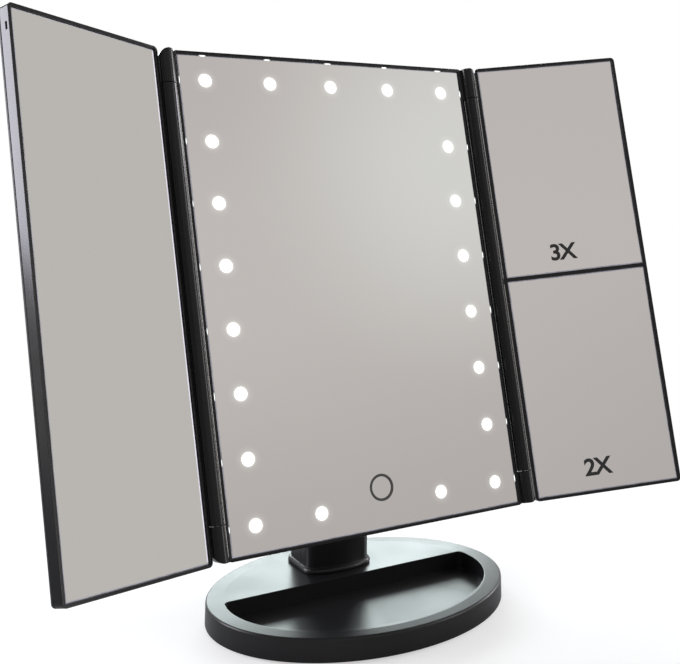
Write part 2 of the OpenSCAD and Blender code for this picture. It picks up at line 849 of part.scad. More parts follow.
// Sockets for the wires of the cells, the lights and the touch ring, open at the top.
module wire_sockets() color(pad_white) for (p = wire_socket_at)
    translate([p[0], control_y + board_t, control_z + p[1]]) difference() {
        standing_block(wire_socket_size);
        translate([0, wire_socket_wall, wire_socket_wall]) standing_block(
            wire_socket_size - [2 * wire_socket_wall, 0, 2 * wire_socket_wall]);
    }

module usb_socket() color(steel) difference() {
    block([usb_x - usb_w / 2, control_y + board_t, control_z - usb_h / 2],
          [usb_x + usb_w / 2, panel_d - 0.3, control_z + usb_h / 2]);
    block([usb_x - usb_w / 2 + usb_wall, control_y + board_t + 1, control_z - usb_h / 2 + usb_wall],
          [usb_x + usb_w / 2 - usb_wall, panel_d + 1, control_z + usb_h / 2 - usb_wall]);
}

module switch_body() color([0.2, 0.2, 0.2]) {
    low_y = control_y + board_t;
    difference() {
        block([switch_x - switch_body_w / 2, low_y, control_z - switch_body_h / 2],
              [switch_x + switch_body_w / 2, inner_back_y, control_z + switch_body_h / 2]);
        block([switch_x - (slider_foot_w + switch_travel) / 2 - part_gap, low_y + switch_wall,
               control_z - slider_foot_h / 2 - part_gap],
              [switch_x + (slider_foot_w + switch_travel) / 2 + part_gap, inner_back_y - 0.5,
               control_z + slider_foot_h / 2 + part_gap]);
        block([switch_x - (slider_w + switch_travel) / 2 - part_gap, low_y + switch_wall,
               control_z - slider_h / 2 - part_gap],
              [switch_x + (slider_w + switch_travel) / 2 + part_gap, big / 8,
               control_z + slider_h / 2 + part_gap]);
    }
}

// The slider at the "on" end of its travel.
module switch_slider() color([0.85, 0.85, 0.85]) {
    x = switch_x + switch_travel / 2;
    low_y = control_y + board_t + switch_wall + part_gap / 2;
    top_y = panel_d + slider_proud;
    block([x - slider_foot_w / 2, low_y, control_z - slider_foot_h / 2],
          [x + slider_foot_w / 2, low_y + slider_foot_t, control_z + slider_foot_h / 2]);
    difference() {
        block([x - slider_w / 2, low_y, control_z - slider_h / 2],
              [x + slider_w / 2, top_y, control_z + slider_h / 2]);
        for (i = [-1, 0, 1]) translate([i * slider_groove[0], 0, 0])
            block([x - slider_groove[1] / 2, top_y - slider_groove[2], control_z - slider_h],
                  [x + slider_groove[1] / 2, top_y + 1, control_z + slider_h]);
    }
}

// A closed plate in x and z whose back edges and corners are rounded, front face open.
module soft_back_box(half_x, z0, z1, y0, y1, r) {
    upright(y0, y1 - r) rounded_rect([-half_x, z0], [half_x, z1], r);
    block([-half_x + r, y0, z0 + r], [half_x - r, y1, z1 - r]);
    for (x = [-half_x + r, half_x - r]) {
        translate([x, y1 - r, z0 + r]) cylinder(r = r, h = z1 - z0 - 2 * r);
        for (z = [z0 + r, z1 - r]) translate([x, y1 - r, z]) sphere(r = r);
    }
    for (z = [z0 + r, z1 - r]) rod_x(y1 - r, z, -half_x + r, half_x - r, r);
}

module housing_screw_places() {
    for (x = [-housing_screw_x, housing_screw_x], z = housing_screw_z) translate([x, 0, z]) children();
}

module bracket_screw_places() {
    x = bracket_w / 2 - bracket_screw_in[0];
    z = bracket_h / 2 - bracket_screw_in[1];
    for (sx = [-x, x], sz = [-z, z]) translate([sx, 0, pivot_up + sz]) children();
}

// The rails that the battery door's tongues run in, and the door's own recess.
module door_recess() {
    block([-door_half - door_slack, door_low_y - 0.1, door_low_z - door_slack],
          [door_half + door_slack, big, big]);
    block([-door_half - tongue_out - door_slack, tongue_y - door_slack / 2, door_low_z - door_slack],
          [door_half + tongue_out + door_slack, tongue_y + tongue_t + door_slack / 2, big]);
}

module battery_room() {
    block([-bay_half, bay_front_y, bay_low_z], [bay_half, big, bay_high_z]);
}

// A dish sunk in the housing's back.
module dish(x, half) {
    upright(panel_d - dish_depth, big / 8)
        rounded_rect([x - half[0], control_z - half[1]], [x + half[0], control_z + half[1]], dish_r);
}

module rear_housing() color(plastic) difference() {
    union() {
        difference() {
            soft_back_box(panel_half, panel_low_z, panel_high_z, centre_frame_d, panel_d, housing_r);
            upright(centre_frame_d - eps, inner_back_y)
                rounded_rect([-panel_half + housing_wall, panel_low_z + housing_wall],
                             [panel_half - housing_wall, panel_high_z - housing_wall], frame_corner_r);
        }
        // battery box, inside and outside
        block([-bay_half - housing_wall, bay_front_y - box_front_wall, box_low_z],
              [bay_half + housing_wall, panel_d, box_high_z]);
        upright(panel_d - eps, box_back_y)
            rounded_rect([-box_half, box_low_z], [box_half, box_high_z], box_corner_r);
        // ribs that carry the light board
        for (x = light_xs)
            block([x - board_rib_t / 2, light_board_y + board_t, light_low_z + board_rib_in],
                  [x + board_rib_t / 2, panel_d - 1, light_high_z - board_rib_in]);
        // bosses for the housing screws, the bracket and the control board
        housing_screw_places() rod_y(0, 0, centre_frame_d, panel_d - 1, housing_boss_r);
        bracket_screw_places() rod_y(0, 0, inner_back_y - 3, panel_d - 0.5, boss_r);
        for (x = control_boss_x) rod_y(x, control_z, control_y + board_t, panel_d - 1, boss_r);
    }
    battery_room();
    door_recess();
    housing_screw_places() {
        rod_y(0, 0, 0, big / 8, screw_r + seat_gap);
        rod_y(0, 0, panel_d - housing_screw_sunk, big / 8, screw_head_r + screw_slack);
    }
    bracket_screw_places() rod_y(0, 0, 0, big / 8, screw_r + seat_gap);
    block([usb_x - usb_w / 2 - usb_slack, 0, control_z - usb_h / 2 - usb_slack],
          [usb_x + usb_w / 2 + usb_slack, big, control_z + usb_h / 2 + usb_slack]);
    block([switch_x - (slider_w + switch_travel) / 2 - part_gap, 0, control_z - slider_h / 2 - part_gap],
          [switch_x + (slider_w + switch_travel) / 2 + part_gap, big, control_z + slider_h / 2 + part_gap]);
    dish(switch_x, switch_dish);
    dish(usb_x, usb_dish);
}

module housing_screws() color(steel) housing_screw_places()
    translate([0, panel_d - housing_screw_sunk + screw_head_h, 0]) rotate([90, 0, 0])
        screw(len = panel_d - housing_screw_sunk + screw_head_h - glass_t - screw_tip_room);

// ---- batteries ----

cell_xs = [for (i = [0 : 3]) (i - 1.5) * cell_pitch];

// Where cell i's nub end is: every other cell stands upside down.
module cell_place(i) {
    up = i % 2 == 0;
    translate([cell_xs[i], cell_y, up ? bay_low_z : bay_high_z])
        mirror([0, 0, up ? 0 : 1]) children();
}

module battery_cells() color([0.55, 0.5, 0.3]) for (i = [0 : 3]) cell_place(i)
    translate([0, 0, contact_t + spring_len]) {
        cylinder(r = cell_d / 2, h = cell_len);
        translate([0, 0, cell_len - eps]) cylinder(r = nub_r, h = nub_len + eps);
    }

module battery_contacts() color(steel) for (z = [bay_low_z, bay_high_z - contact_t], i = [0 : 3])
    block([cell_xs[i] - contact_half, bay_front_y + contact_in[0], z],
          [cell_xs[i] + contact_half, door_low_y - contact_in[1], z + contact_t]);

// Conical springs that press each cell's flat end.
module battery_springs() color(steel) for (i = [0 : 3]) cell_place(i)
    translate([0, 0, contact_t]) difference() {
        cylinder(r1 = spring_wide_r, r2 = spring_narrow_r, h = spring_len);
        translate([0, 0, -eps])
            cylinder(r1 = spring_wide_r - spring_wire, r2 = spring_narrow_r - spring_wire,
                     h = spring_len + 2 * eps);
    }

module battery_door() color(plastic) difference() {
    union() {
        block([-door_half, door_low_y, door_low_z], [door_half, box_back_y, box_high_z]);
        block([-door_half - tongue_out, tongue_y, door_low_z],
              [door_half + tongue_out, tongue_y + tongue_t, box_high_z - tongue_short]);
    }
    // grooves to grip it by
    for (i = [0 : grip_count - 1]) translate([0, 0, box_high_z - grip_down + i * grip_pitch])
        block([-grip_half, box_back_y - grip_depth, 0], [grip_half, box_back_y + 1, grip_w]);
}

// ---- tilt joint ----

module ear(x0, x1) {
    rod_x(pivot_back, pivot_up, x0, x1, head_r);
    block([x0, panel_d + 1, pivot_up - head_r], [x1, pivot_back, pivot_up + head_r]);
    // gusset that spreads the ear's foot
    translate([x0, 0, 0]) rotate([90, 0, 90]) linear_extrude(x1 - x0)
        polygon([[panel_d + 1, pivot_up - bracket_h / 2 + 2], [pivot_back, pivot_up - head_r],
                 [pivot_back, pivot_up + head_r], [panel_d + 1, pivot_up + bracket_h / 2 - 2]]);
}

module tilt_bracket() color(plastic) difference() {
    union() {
        upright(panel_d, panel_d + bracket_plate_t) rounded_rect(
            [-bracket_w / 2, pivot_up - bracket_h / 2], [bracket_w / 2, pivot_up + bracket_h / 2],
            bracket_corner_r);
        ear(ear_x, ear_x + ear_t);
        ear(-ear_x - ear_t, -ear_x);
    }
    // room for the neck's head as the mirror tilts
    rod_x(pivot_back, pivot_up, -ear_x, ear_x, head_r + 1);
    rod_x(pivot_back, pivot_up, -big / 4, big / 4, tilt_pin_d / 2 + seat_gap);
    bracket_screw_places() rod_y(0, 0, 0, big / 8, screw_r + screw_slack);
}

module bracket_screws() color(steel) bracket_screw_places()
    translate([0, panel_d + bracket_plate_t + screw_head_h, 0]) rotate([90, 0, 0])
        screw(len = screw_head_h + bracket_plate_t + bracket_screw_grip);

module tilt_pin() color(steel)
    rod_x(pivot_back, pivot_up, -pin_half - cap_t / 2, pin_half + cap_t / 2, tilt_pin_d / 2);

module friction_washers() color([0.8, 0.78, 0.7]) for (side = [-1, 1]) {
    x = side * (ear_x - washer_t / 2);
    difference() {
        rod_x(pivot_back, pivot_up, x - washer_t / 2, x + washer_t / 2, head_r - washer_in);
        rod_x(pivot_back, pivot_up, x - washer_t, x + washer_t, tilt_pin_d / 2 + seat_gap);
    }
}

module pin_caps() color(plastic) for (side = [0, 1]) mirror([side, 0, 0]) difference() {
    rod_x(pivot_back, pivot_up, pin_half, pin_half + cap_t, cap_r);
    rod_x(pivot_back, pivot_up, 0, pin_half + cap_t / 2 + seat_gap, tilt_pin_d / 2 + seat_gap);
}

// ---- wing hinges ----

module hinge_pins() color(steel) for (x = [-hinge_x, hinge_x]) translate([x, -hinge_front, 0]) {
    translate([0, 0, post_low_z + knuckle_len - knuckle_bore + 0.2])
        cylinder(r = hinge_pin_d / 2, h = hinge_pin_len);
    translate([0, 0, post_high_z - knuckle_len + knuckle_bore - 0.2 - hinge_pin_len])
        cylinder(r = hinge_pin_d / 2, h = hinge_pin_len);
}

// ---- wings, drawn in the hinge's frame ----

module wing_outline(r) {
    rounded_rect([wing_in, panel_low_z], [wing_out, panel_high_z], r);
}

// The turning barrel of the post, with the web that joins it to the wing.
module barrel() {
    translate([0, 0, barrel_low_z]) cylinder(r = post_r, h = barrel_high_z - barrel_low_z);
    block([0, wing_front_y, barrel_low_z], [wing_in + 0.5, post_r, barrel_high_z]);
}

module barrel_bores() {
    deep = hinge_pin_len - knuckle_bore + 2;
    translate([0, 0, barrel_low_z - eps]) cylinder(r = hinge_pin_d / 2 + run_gap, h = deep);
    translate([0, 0, barrel_high_z - deep + eps]) cylinder(r = hinge_pin_d / 2 + run_gap, h = deep);
}

pane_in = wing_in + rim_w + glass_gap;
pane_out = wing_out - rim_w - glass_gap;

// The opening for a pane, and the smaller opening through the ledge behind it.
module pane_opening(z0, z1, pane_t) {
    upright(-big / 8, wing_face_y + pane_t)
        square_pane(pane_in - glass_gap, pane_out + glass_gap, z0 - glass_gap, z1 + glass_gap);
    upright(0, big / 8)
        square_pane(pane_in + wing_ledge, pane_out - wing_ledge, z0 + wing_ledge, z1 - wing_ledge);
}

// The wing's walls stop at the back cover; the cover's rim is the rest of the wing.
module wing_shell() {
    upright(wing_front_y, wing_back_y) wing_outline(wing_corner_r);
    barrel();
}

// Hollow behind the ledge, where the cover's tongue goes.
module wing_hollow(pane_t) {
    upright(wing_face_y + pane_t + ledge_t, big / 8)
        rounded_rect([wing_in + rim_w, panel_low_z + rim_w], [wing_out - rim_w, panel_high_z - rim_w], 1);
}

module outer_slot() {
    y = wing_front_y + slot_back;
    z = panel_high_z - slot_down - slot_len / 2;
    block([wing_out - slot_depth, y, z - slot_len / 2], [wing_out + 1, y + slot_h, z + slot_len / 2]);
}

module left_wing_frame() color(plastic) on_left_wing() difference() {
    wing_shell();
    pane_opening(0, glass_h, glass_t);
    wing_hollow(glass_t);
    barrel_bores();
    outer_slot();
}

module left_wing_glass() color(mirror_grey) on_left_wing()
    upright(wing_face_y, wing_face_y + glass_t)
        square_pane(pane_in, pane_out, 0, glass_h);

// Two strips of foam behind a pane.
module pads(z, pane_t) {
    for (x = [pane_in + pad_side, pane_out - pad_side - pad_w])
        upright(wing_face_y + pane_t, wing_back_y - pad_gap)
            square_pane(x, x + pad_w, z[0] + pad_end, z[1] - pad_end);
}

module left_wing_pads() color(pad_white) on_left_wing() pads([0, glass_h], glass_t);

module wing_back_cover() {
    upright(wing_back_y, wing_rear_y) wing_outline(wing_corner_r);
}

module left_wing_back() color(plastic) on_left_wing() wing_back_cover();

pane_low = [0, bar_mid_z - bar_w / 2 - glass_gap];
pane_high = [bar_mid_z + bar_w / 2 + glass_gap, glass_h];

module right_wing_frame() color(plastic) on_right_wing() difference() {
    wing_shell();
    pane_opening(pane_low[0], pane_low[1], magnifier_t);
    pane_opening(pane_high[0], pane_high[1], magnifier_t);
    difference() {
        wing_hollow(magnifier_t);
        upright(0, wing_back_y) square_pane(wing_in, wing_out, bar_mid_z - bar_w / 2, bar_mid_z + bar_w / 2);
    }
    barrel_bores();
    outer_slot();
}

// A magnifying pane: a plate with a shallow round hollow in its face, whose
// section is an arc of radius face_r that runs out at the pane's corners.
module hollow_pane(z, face_r) {
    mid = [(pane_in + pane_out) / 2, (z[0] + z[1]) / 2];
    half_diag = norm([pane_out - pane_in, z[1] - z[0]]) / 2;
    arc = [for (i = [0 : hollow_rings])
        let (r = half_diag * i / hollow_rings)
        [r, sqrt(pow(face_r, 2) - pow(r, 2)) - sqrt(pow(face_r, 2) - pow(half_diag, 2))]];
    difference() {
        upright(wing_face_y, wing_face_y + magnifier_t) square_pane(pane_in, pane_out, z[0], z[1]);
        translate([mid[0], wing_face_y, mid[1]]) rotate([-90, 0, 0])
            rotate_extrude($fn = 128) polygon(concat(arc, [[half_diag, -1], [0, -1]]));
    }
}

module right_glass_3x() color(mirror_grey) on_right_wing() hollow_pane(pane_high, pane_3x_r);

module right_glass_2x() color(mirror_grey) on_right_wing() hollow_pane(pane_low, pane_2x_r);

module right_wing_pads() color(pad_white) on_right_wing()
    for (z = [pane_low, pane_high]) pads(z, magnifier_t);

module right_wing_back() color(plastic) on_right_wing() wing_back_cover();

// ---- drawing ----

base_shell();
base_cover();
base_weight();
base_feet();
cover_screws();
neck_front();
neck_rear();
neck_foot_screws();
neck_shell_screws();
on_mirror() centre_frame();
on_mirror() centre_glass();
on_mirror() light_windows();
on_mirror() touch_ring();
on_mirror() light_board();
on_mirror() light_chips();
on_mirror() touch_board();
on_mirror() control_board();
on_mirror() board_parts();
on_mirror() wire_sockets();
on_mirror() usb_socket();
on_mirror() switch_body();
on_mirror() switch_slider();
on_mirror() rear_housing();
on_mirror() housing_screws();
on_mirror() battery_cells();
on_mirror() battery_contacts();
on_mirror() battery_springs();
on_mirror() battery_door();
on_mirror() tilt_bracket();
on_mirror() bracket_screws();
on_mirror() tilt_pin();
on_mirror() friction_washers();
on_mirror() pin_caps();
on_mirror() hinge_pins();
left_wing_frame();
left_wing_glass();
left_wing_pads();
left_wing_back();
right_wing_frame();
right_glass_3x();
right_glass_2x();
right_wing_pads();
right_wing_back();
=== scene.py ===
"""The looks of the trifold vanity mirror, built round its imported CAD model.

Laid out as an add-on and run as a script. Metres, in the CAD model's own frame:
+Z is up, the viewer stands on the -Y side, the origin is on the ground.
"""

import json
from math import cos, pi, radians, sin, sqrt

import bmesh
import bpy
from bpy.props import FloatProperty, FloatVectorProperty, IntProperty, PointerProperty
from mathutils import Matrix, Vector


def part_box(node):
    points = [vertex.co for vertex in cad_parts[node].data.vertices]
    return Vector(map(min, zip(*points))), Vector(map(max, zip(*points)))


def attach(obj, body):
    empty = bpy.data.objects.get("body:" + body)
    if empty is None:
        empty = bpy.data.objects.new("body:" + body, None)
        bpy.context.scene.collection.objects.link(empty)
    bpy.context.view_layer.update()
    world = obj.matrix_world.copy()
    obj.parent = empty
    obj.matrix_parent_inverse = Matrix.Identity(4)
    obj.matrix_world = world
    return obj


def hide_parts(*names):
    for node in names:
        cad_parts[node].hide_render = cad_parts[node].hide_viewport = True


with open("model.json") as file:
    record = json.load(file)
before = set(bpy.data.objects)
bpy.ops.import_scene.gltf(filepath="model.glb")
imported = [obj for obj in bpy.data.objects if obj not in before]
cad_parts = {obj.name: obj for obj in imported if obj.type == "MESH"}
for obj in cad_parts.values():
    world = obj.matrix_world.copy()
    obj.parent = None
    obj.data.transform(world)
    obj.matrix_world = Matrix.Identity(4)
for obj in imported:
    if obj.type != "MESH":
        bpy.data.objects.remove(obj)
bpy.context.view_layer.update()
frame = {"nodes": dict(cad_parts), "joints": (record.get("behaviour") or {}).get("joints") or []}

bl_info = {
    "name": "Trifold vanity mirror",
    "version": (1, 0, 0),
    "blender": (4, 5, 0),
    "location": "View3D > Sidebar > Vanity mirror",
    "description": "Finishes the trifold vanity mirror: moulded plastics, silvered panes, lights, studio",
    "category": "Object",
}

JOINTS = {joint["name"]: joint for joint in frame["joints"]}
LENGTH = {"subtype": "DISTANCE", "unit": "LENGTH"}
COLOUR = {"subtype": "COLOR", "min": 0, "max": 1}

WELD = 2e-6                     # vertices nearer than this are one
SAME = 1e-6                     # places along an axis that differ by less are the same
TOUCH = 1e-5                    # a point this near a plane or radius lies on it
FLAT = radians(0.6)             # triangles that meet at less than this are one face
HARD_EDGE = radians(32)         # moulded edges that turn more than this are rounded
SHARP_SHADE = radians(40)       # edges left that turn more than this are shaded sharp
SMALL_STEP = 0.00009            # sides of a bore too small to be worth rounding
SQUARE_ON = 0.7                 # how squarely a pane's face looks along Y to be its front or back
COVER_ROUND = 0.0002            # rounding of the thin cover and lid
FOOT_ROUND = 0.00025
CAP_ROUND = 0.0003
WING_BACK_ROUND = 0.0005
FRONT, EDGE, BACK, GLOW_BAND = range(4)      # a pane's materials, in their order
LIE_UPRIGHT = Matrix.Rotation(radians(90), 4, "X")


# ---- what a user would change ----

class VanitySizes(bpy.types.PropertyGroup):
    tilt: FloatProperty(
        name="Tilt", description="How far the centre panel leans back from upright",
        default=radians(15.9), subtype="ANGLE")
    fold_left: FloatProperty(
        name="Left fold", description="How far the left wing is folded forward",
        default=radians(26.8), subtype="ANGLE")
    fold_right: FloatProperty(
        name="Right fold", description="How far the right wing is folded forward",
        default=radians(22.6), subtype="ANGLE")
    pivot: FloatVectorProperty(
        name="Tilt pin", description="Middle of the tilt pin",
        default=JOINTS["mirror_tilt"]["pos_m"], subtype="TRANSLATION", unit="LENGTH")
    pivot_back: FloatProperty(
        name="Pin behind glass", description="Distance of the tilt pin behind the centre pane's face",
        default=0.023, **LENGTH)
    glass_w: FloatProperty(
        name="Glass width", description="Width of the centre pane",
        default=0.160, **LENGTH)
    glass_h: FloatProperty(
        name="Glass height", description="Height of every wing's glass and of the centre pane",
        default=0.235, **LENGTH)
    glass_t: FloatProperty(
        name="Glass thickness", description="Thickness of the flat panes",
        default=0.002, **LENGTH)
    hinge_out: FloatProperty(
        name="Hinge axis", description="Distance of each hinge axis from the mirror's middle",
        default=JOINTS["right_wing_fold"]["pos_m"][0], **LENGTH)
    hinge_front: FloatProperty(
        name="Hinge in front", description="How far the hinge axes lie in front of the centre pane",
        default=0.0012, **LENGTH)
    wing_face: FloatProperty(
        name="Wing face", description="Wing pane's face behind its hinge axis",
        default=0.001, **LENGTH)
    window_r: FloatProperty(
        name="Window radius", description="Radius of a frosted light window",
        default=0.0032, **LENGTH)
    light_side_in: FloatProperty(
        name="Side lights in", description="Distance of the side lights from the pane's side edges",
        default=0.0129, **LENGTH)
    light_low: FloatProperty(
        name="Lowest lights", description="Height of the lowest lights above the pane's lower edge",
        default=0.0124, **LENGTH)
    light_top_in: FloatProperty(
        name="Top lights in", description="Distance of the top lights below the pane's upper edge",
        default=0.0125, **LENGTH)
    side_lights: IntProperty(
        name="Lights a side", description="Lights down each side of the pane",
        default=8, min=2)
    pane_in: FloatProperty(
        name="Pane's near edge", description="Wing pane's near edge, out from the hinge axis",
        default=0.00605, **LENGTH)
    pane_out: FloatProperty(
        name="Pane's far edge", description="Wing pane's far edge, out from the hinge axis",
        default=0.0837, **LENGTH)
    bar_gap: FloatProperty(
        name="Gap at the bar", description="Gap between the two magnifying panes, where the bar lies",
        default=0.0023, **LENGTH)
    magnifier_t: FloatProperty(
        name="Magnifier thickness", description="Thickness of the magnifying panes at their rim",
        default=0.0024, **LENGTH)
    upper_radius: FloatProperty(
        name="3X radius", description="Radius of the hollow face of the 3X pane",
        default=1.8, **LENGTH)
    lower_radius: FloatProperty(
        name="2X radius", description="Radius of the hollow face of the 2X pane",
        default=2.6, **LENGTH)
    rim_width: FloatProperty(
        name="Rim width", description="Width of the centre frame's rim beside the pane",
        default=0.00165, **LENGTH)
    post_radius: FloatProperty(
        name="Post radius", description="Radius of the hinge posts",
        default=0.0039, **LENGTH)
    rim_round: FloatProperty(
        name="Rim rounding", description="Width of the rounding on the thin rims and hinge posts",
        default=0.00018, **LENGTH)
    edge_round: FloatProperty(
        name="Edge rounding", description="Width of the rounding on moulded edges",
        default=0.00028, **LENGTH)
    base_half_width: FloatProperty(
        name="Base half width", description="Half the width of the oval base",
        default=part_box("base_shell")[1].x, **LENGTH)
    base_half_depth: FloatProperty(
        name="Base half depth", description="Half the depth of the oval base",
        default=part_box("base_shell")[1].y, **LENGTH)
    crown: FloatProperty(
        name="Crown", description="How far the base's top seems to fall away at its outer edge",
        default=0.00075, **LENGTH)
    pane_bevel: FloatProperty(
        name="Pane bevel", description="Width of the ground bevel round a pane",
        default=0.0006, **LENGTH)
    # the pale line is pale glass with a painted glow, a painted highlight inside the bevel
    pane_glow_band: FloatProperty(
        name="Pane glow band", description="Width of the pale line inside the left pane's bevel",
        default=0.0009, **LENGTH)
    mark_height: FloatProperty(
        name="Mark height", description="Height of the 2X and 3X marks",
        default=0.0093, **LENGTH)


class VanityColours(bpy.types.PropertyGroup):
    plastic: FloatVectorProperty(
        name="Plastic", description="Colour of the satin black plastic",
        default=(0.0095, 0.0095, 0.0105), **COLOUR)
    silver: FloatVectorProperty(
        name="Silvering", description="Colour that the silvered panes reflect",
        default=(0.86, 0.85, 0.83), **COLOUR)
    window: FloatVectorProperty(
        name="Window light", description="Colour of the lit windows",
        default=(1.0, 0.99, 0.96), **COLOUR)
    ink: FloatVectorProperty(
        name="Ink", description="Colour of the printed marks",
        default=(0.018, 0.0175, 0.0175), **COLOUR)


class VanityStudio(bpy.types.PropertyGroup):
    front_low: FloatVectorProperty(
        name="Front card, low", description="Grey of the studio in front of the mirror, at eye level",
        default=(0.505, 0.480, 0.470), **COLOUR)
    front_high: FloatVectorProperty(
        name="Front card, high", description="Grey of the studio in front of the mirror, higher up",
        default=(0.600, 0.573, 0.562), **COLOUR)
    glow: FloatVectorProperty(
        name="Card's bright part", description="Lighter part of the front card, high on the right",
        default=(0.735, 0.740, 0.725), **COLOUR)
    right: FloatVectorProperty(
        name="Right card", description="Grey of the studio on the right",
        default=(0.564, 0.550, 0.530), **COLOUR)
    left: FloatVectorProperty(
        name="Left card", description="Darker grey of the studio on the left",
        default=(0.30, 0.29, 0.285), **COLOUR)
    back_light: FloatProperty(
        name="Back softbox", description="Brightness of the softbox behind the mirror",
        default=7.5, min=0)
    left_light: FloatProperty(
        name="Left softbox", description="Brightness of the softbox on the left",
        default=11.4, min=0)
    side_light: FloatProperty(
        name="Right softbox", description="Brightness of the softbox beside the mirror on the right",
        default=11, min=0)
    right_light: FloatProperty(
        name="Right strip", description="Brightness of the strip light on the right",
        default=4.5, min=0)


# ---- places ----

def mirror_place(sizes):
    """The mirror's own frame: x right, y back from the centre pane's face, z up from its lower edge."""
    return (Matrix.Translation(sizes.pivot) @ Matrix.Rotation(-sizes.tilt, 4, "X")
            @ Matrix.Translation((0, -sizes.pivot_back, -sizes.glass_h / 2)))


def right_wing_place(sizes):
    """The right wing's frame: x out from the hinge axis, y back, z up."""
    return (mirror_place(sizes) @ Matrix.Translation((sizes.hinge_out, -sizes.hinge_front, 0))
            @ Matrix.Rotation(-sizes.fold_right, 4, "Z"))


def left_wing_place(sizes):
    """The left wing's frame: x out from the hinge axis, so it is a mirror image."""
    return (mirror_place(sizes) @ Matrix.Scale(-1, 4, (1, 0, 0))
            @ Matrix.Translation((sizes.hinge_out, -sizes.hinge_front, 0))
            @ Matrix.Rotation(-sizes.fold_left, 4, "Z"))


def light_grid(sizes):
    """The side lights' distance from the middle, the top lights' height, the step between them."""
    side = sizes.glass_w / 2 - sizes.light_side_in
    top = sizes.glass_h - sizes.light_top_in
    return side, top, (top - sizes.light_low) / (sizes.side_lights - 1)


def light_places(sizes):
    """Where the lights are in the mirror's frame: (x, z)."""
    side, top, step = light_grid(sizes)
    places = [(x, sizes.light_low + i * step) for x in (-side, side) for i in range(sizes.side_lights)]
    places += [(x, top) for x in (-side / 2, 0, side / 2)]
    return places + [(x, sizes.light_low) for x in (-side / 2, side / 2)]


# ---- meshes ----

def link(name, data):
    """A new object of the data, in the scene."""
    made = bpy.data.objects.new(name, data)
    bpy.context.scene.collection.objects.link(made)
    return made


def corners(points):
    """The lowest and highest corner of the box round some points."""
    return [Vector([pick(p[i] for p in points) for i in range(3)]) for pick in (min, max)]


def merged_copy(node):
    """A bmesh of a CAD node with its loose triangles joined into clean faces."""
    mesh = bmesh.new()
    mesh.from_mesh(frame["nodes"][node].data)
    bmesh.ops.remove_doubles(mesh, verts=mesh.verts, dist=WELD)
    bmesh.ops.dissolve_limit(mesh, angle_limit=FLAT, verts=mesh.verts, edges=mesh.edges)
    return mesh


def small_bores(mesh, hard):
    """Hard edges that close a full ring round a bore too small to be worth rounding."""
    short = {edge for edge in hard if edge.calc_length() < SMALL_STEP}
    rings, seen = set(), set()
    for edge in short:
        if edge in seen:
            continue
        chain, open_ends, queue = set(), False, [edge]
        while queue:
            at = queue.pop()
            if at in chain:
                continue
            chain.add(at)
            for vert in at.verts:
                beside = [e for e in vert.link_edges if e in short and e is not at]
                open_ends |= not beside
                queue += beside
        seen |= chain
        if not open_ends:
            rings |= chain
    return rings


def soften(mesh, width, segments=2, sharp=None):
    """Rounds every hard edge of a moulded part a little, apart from those that sharp picks, and
    marks the new faces' corners as worn."""
    hard = [e for e in mesh.edges if e.is_manifold and e.calc_face_angle() > HARD_EDGE
            and not (sharp and sharp(e))]
    skipped = small_bores(mesh, hard)
    worn = mesh.loops.layers.float.new("worn")
    made = bmesh.ops.bevel(
        mesh, geom=[e for e in hard if e not in skipped], offset=width, offset_type="OFFSET",
        segments=segments, profile=0.5, affect="EDGES", clamp_overlap=False, material=-1)
    for face in made["faces"]:
        for loop in face.loops:
            loop[worn] = 1.0


def refine_round(mesh, place, axis, radius):
    """Divides a round post's facets finely, and brings the new points out to its radius. The axis
    runs up through (x, y) in the frame that place gives."""
    back = place.inverted()

    def out_from_axis(point):
        local = back @ point
        return Vector((local.x - axis[0], local.y - axis[1], 0.0)), local.z

    chords = []
    for edge in mesh.edges:
        (a, za), (b, zb) = (out_from_axis(v.co) for v in edge.verts)
        if max(abs(a.length - radius), abs(b.length - radius)) < TOUCH and abs(za - zb) < SAME:
            chords.append(edge)
    cut = bmesh.ops.subdivide_edges(mesh, edges=chords, cuts=3, use_grid_fill=False)["geom_inner"]
    turn = place.to_3x3()
    for vert in cut:
        if isinstance(vert, bmesh.types.BMVert):
            away, _ = out_from_axis(vert.co)
            vert.co += turn @ (away.normalized() * radius - away)


def shade_smooth(mesh):
    """Shades a moulded part smooth, apart from the hard edges that are left."""
    for face in mesh.faces:
        face.smooth = True
    for edge in mesh.edges:
        edge.smooth = not (edge.is_manifold and edge.calc_face_angle() > SHARP_SHADE)


def new_piece(name, mesh, body, materials, place=None, replaces=()):
    """Makes an object of a finished bmesh, its place in its mesh, and lets it ride on its body."""
    if place is not None:
        bmesh.ops.transform(mesh, matrix=place, verts=mesh.verts)
        if place.determinant() < 0:
            bmesh.ops.reverse_faces(mesh, faces=mesh.faces)
    data = bpy.data.meshes.new(name)
    mesh.to_mesh(data)
    mesh.free()
    piece = link(name, data)
    for material in materials:
        data.materials.append(material)
    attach(piece, body)
    if replaces:
        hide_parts(*replaces)
    return piece


def moulded(name, node, body, material, width, segments=2, sharp=None, post=None):
    """A moulded part: a CAD node's shape with soft edges, standing for that node. Edges that
    sharp picks stay as they are. A post is the place, axis and radius of a round part of it that
    gets finer facets."""
    mesh = merged_copy(node)
    if post:
        refine_round(mesh, *post)
    soften(mesh, width, segments, sharp)
    shade_smooth(mesh)
    piece = new_piece(name, mesh, body, [material], replaces=[node])
    piece.modifiers.new("Flat faces", "WEIGHTED_NORMAL").keep_sharp = True


def paint(material, *nodes):
    """Gives CAD nodes that keep their shape their finish."""
    for node in nodes:
        for slot in frame["nodes"][node].material_slots:
            slot.material = material


# ---- shader nodes ----

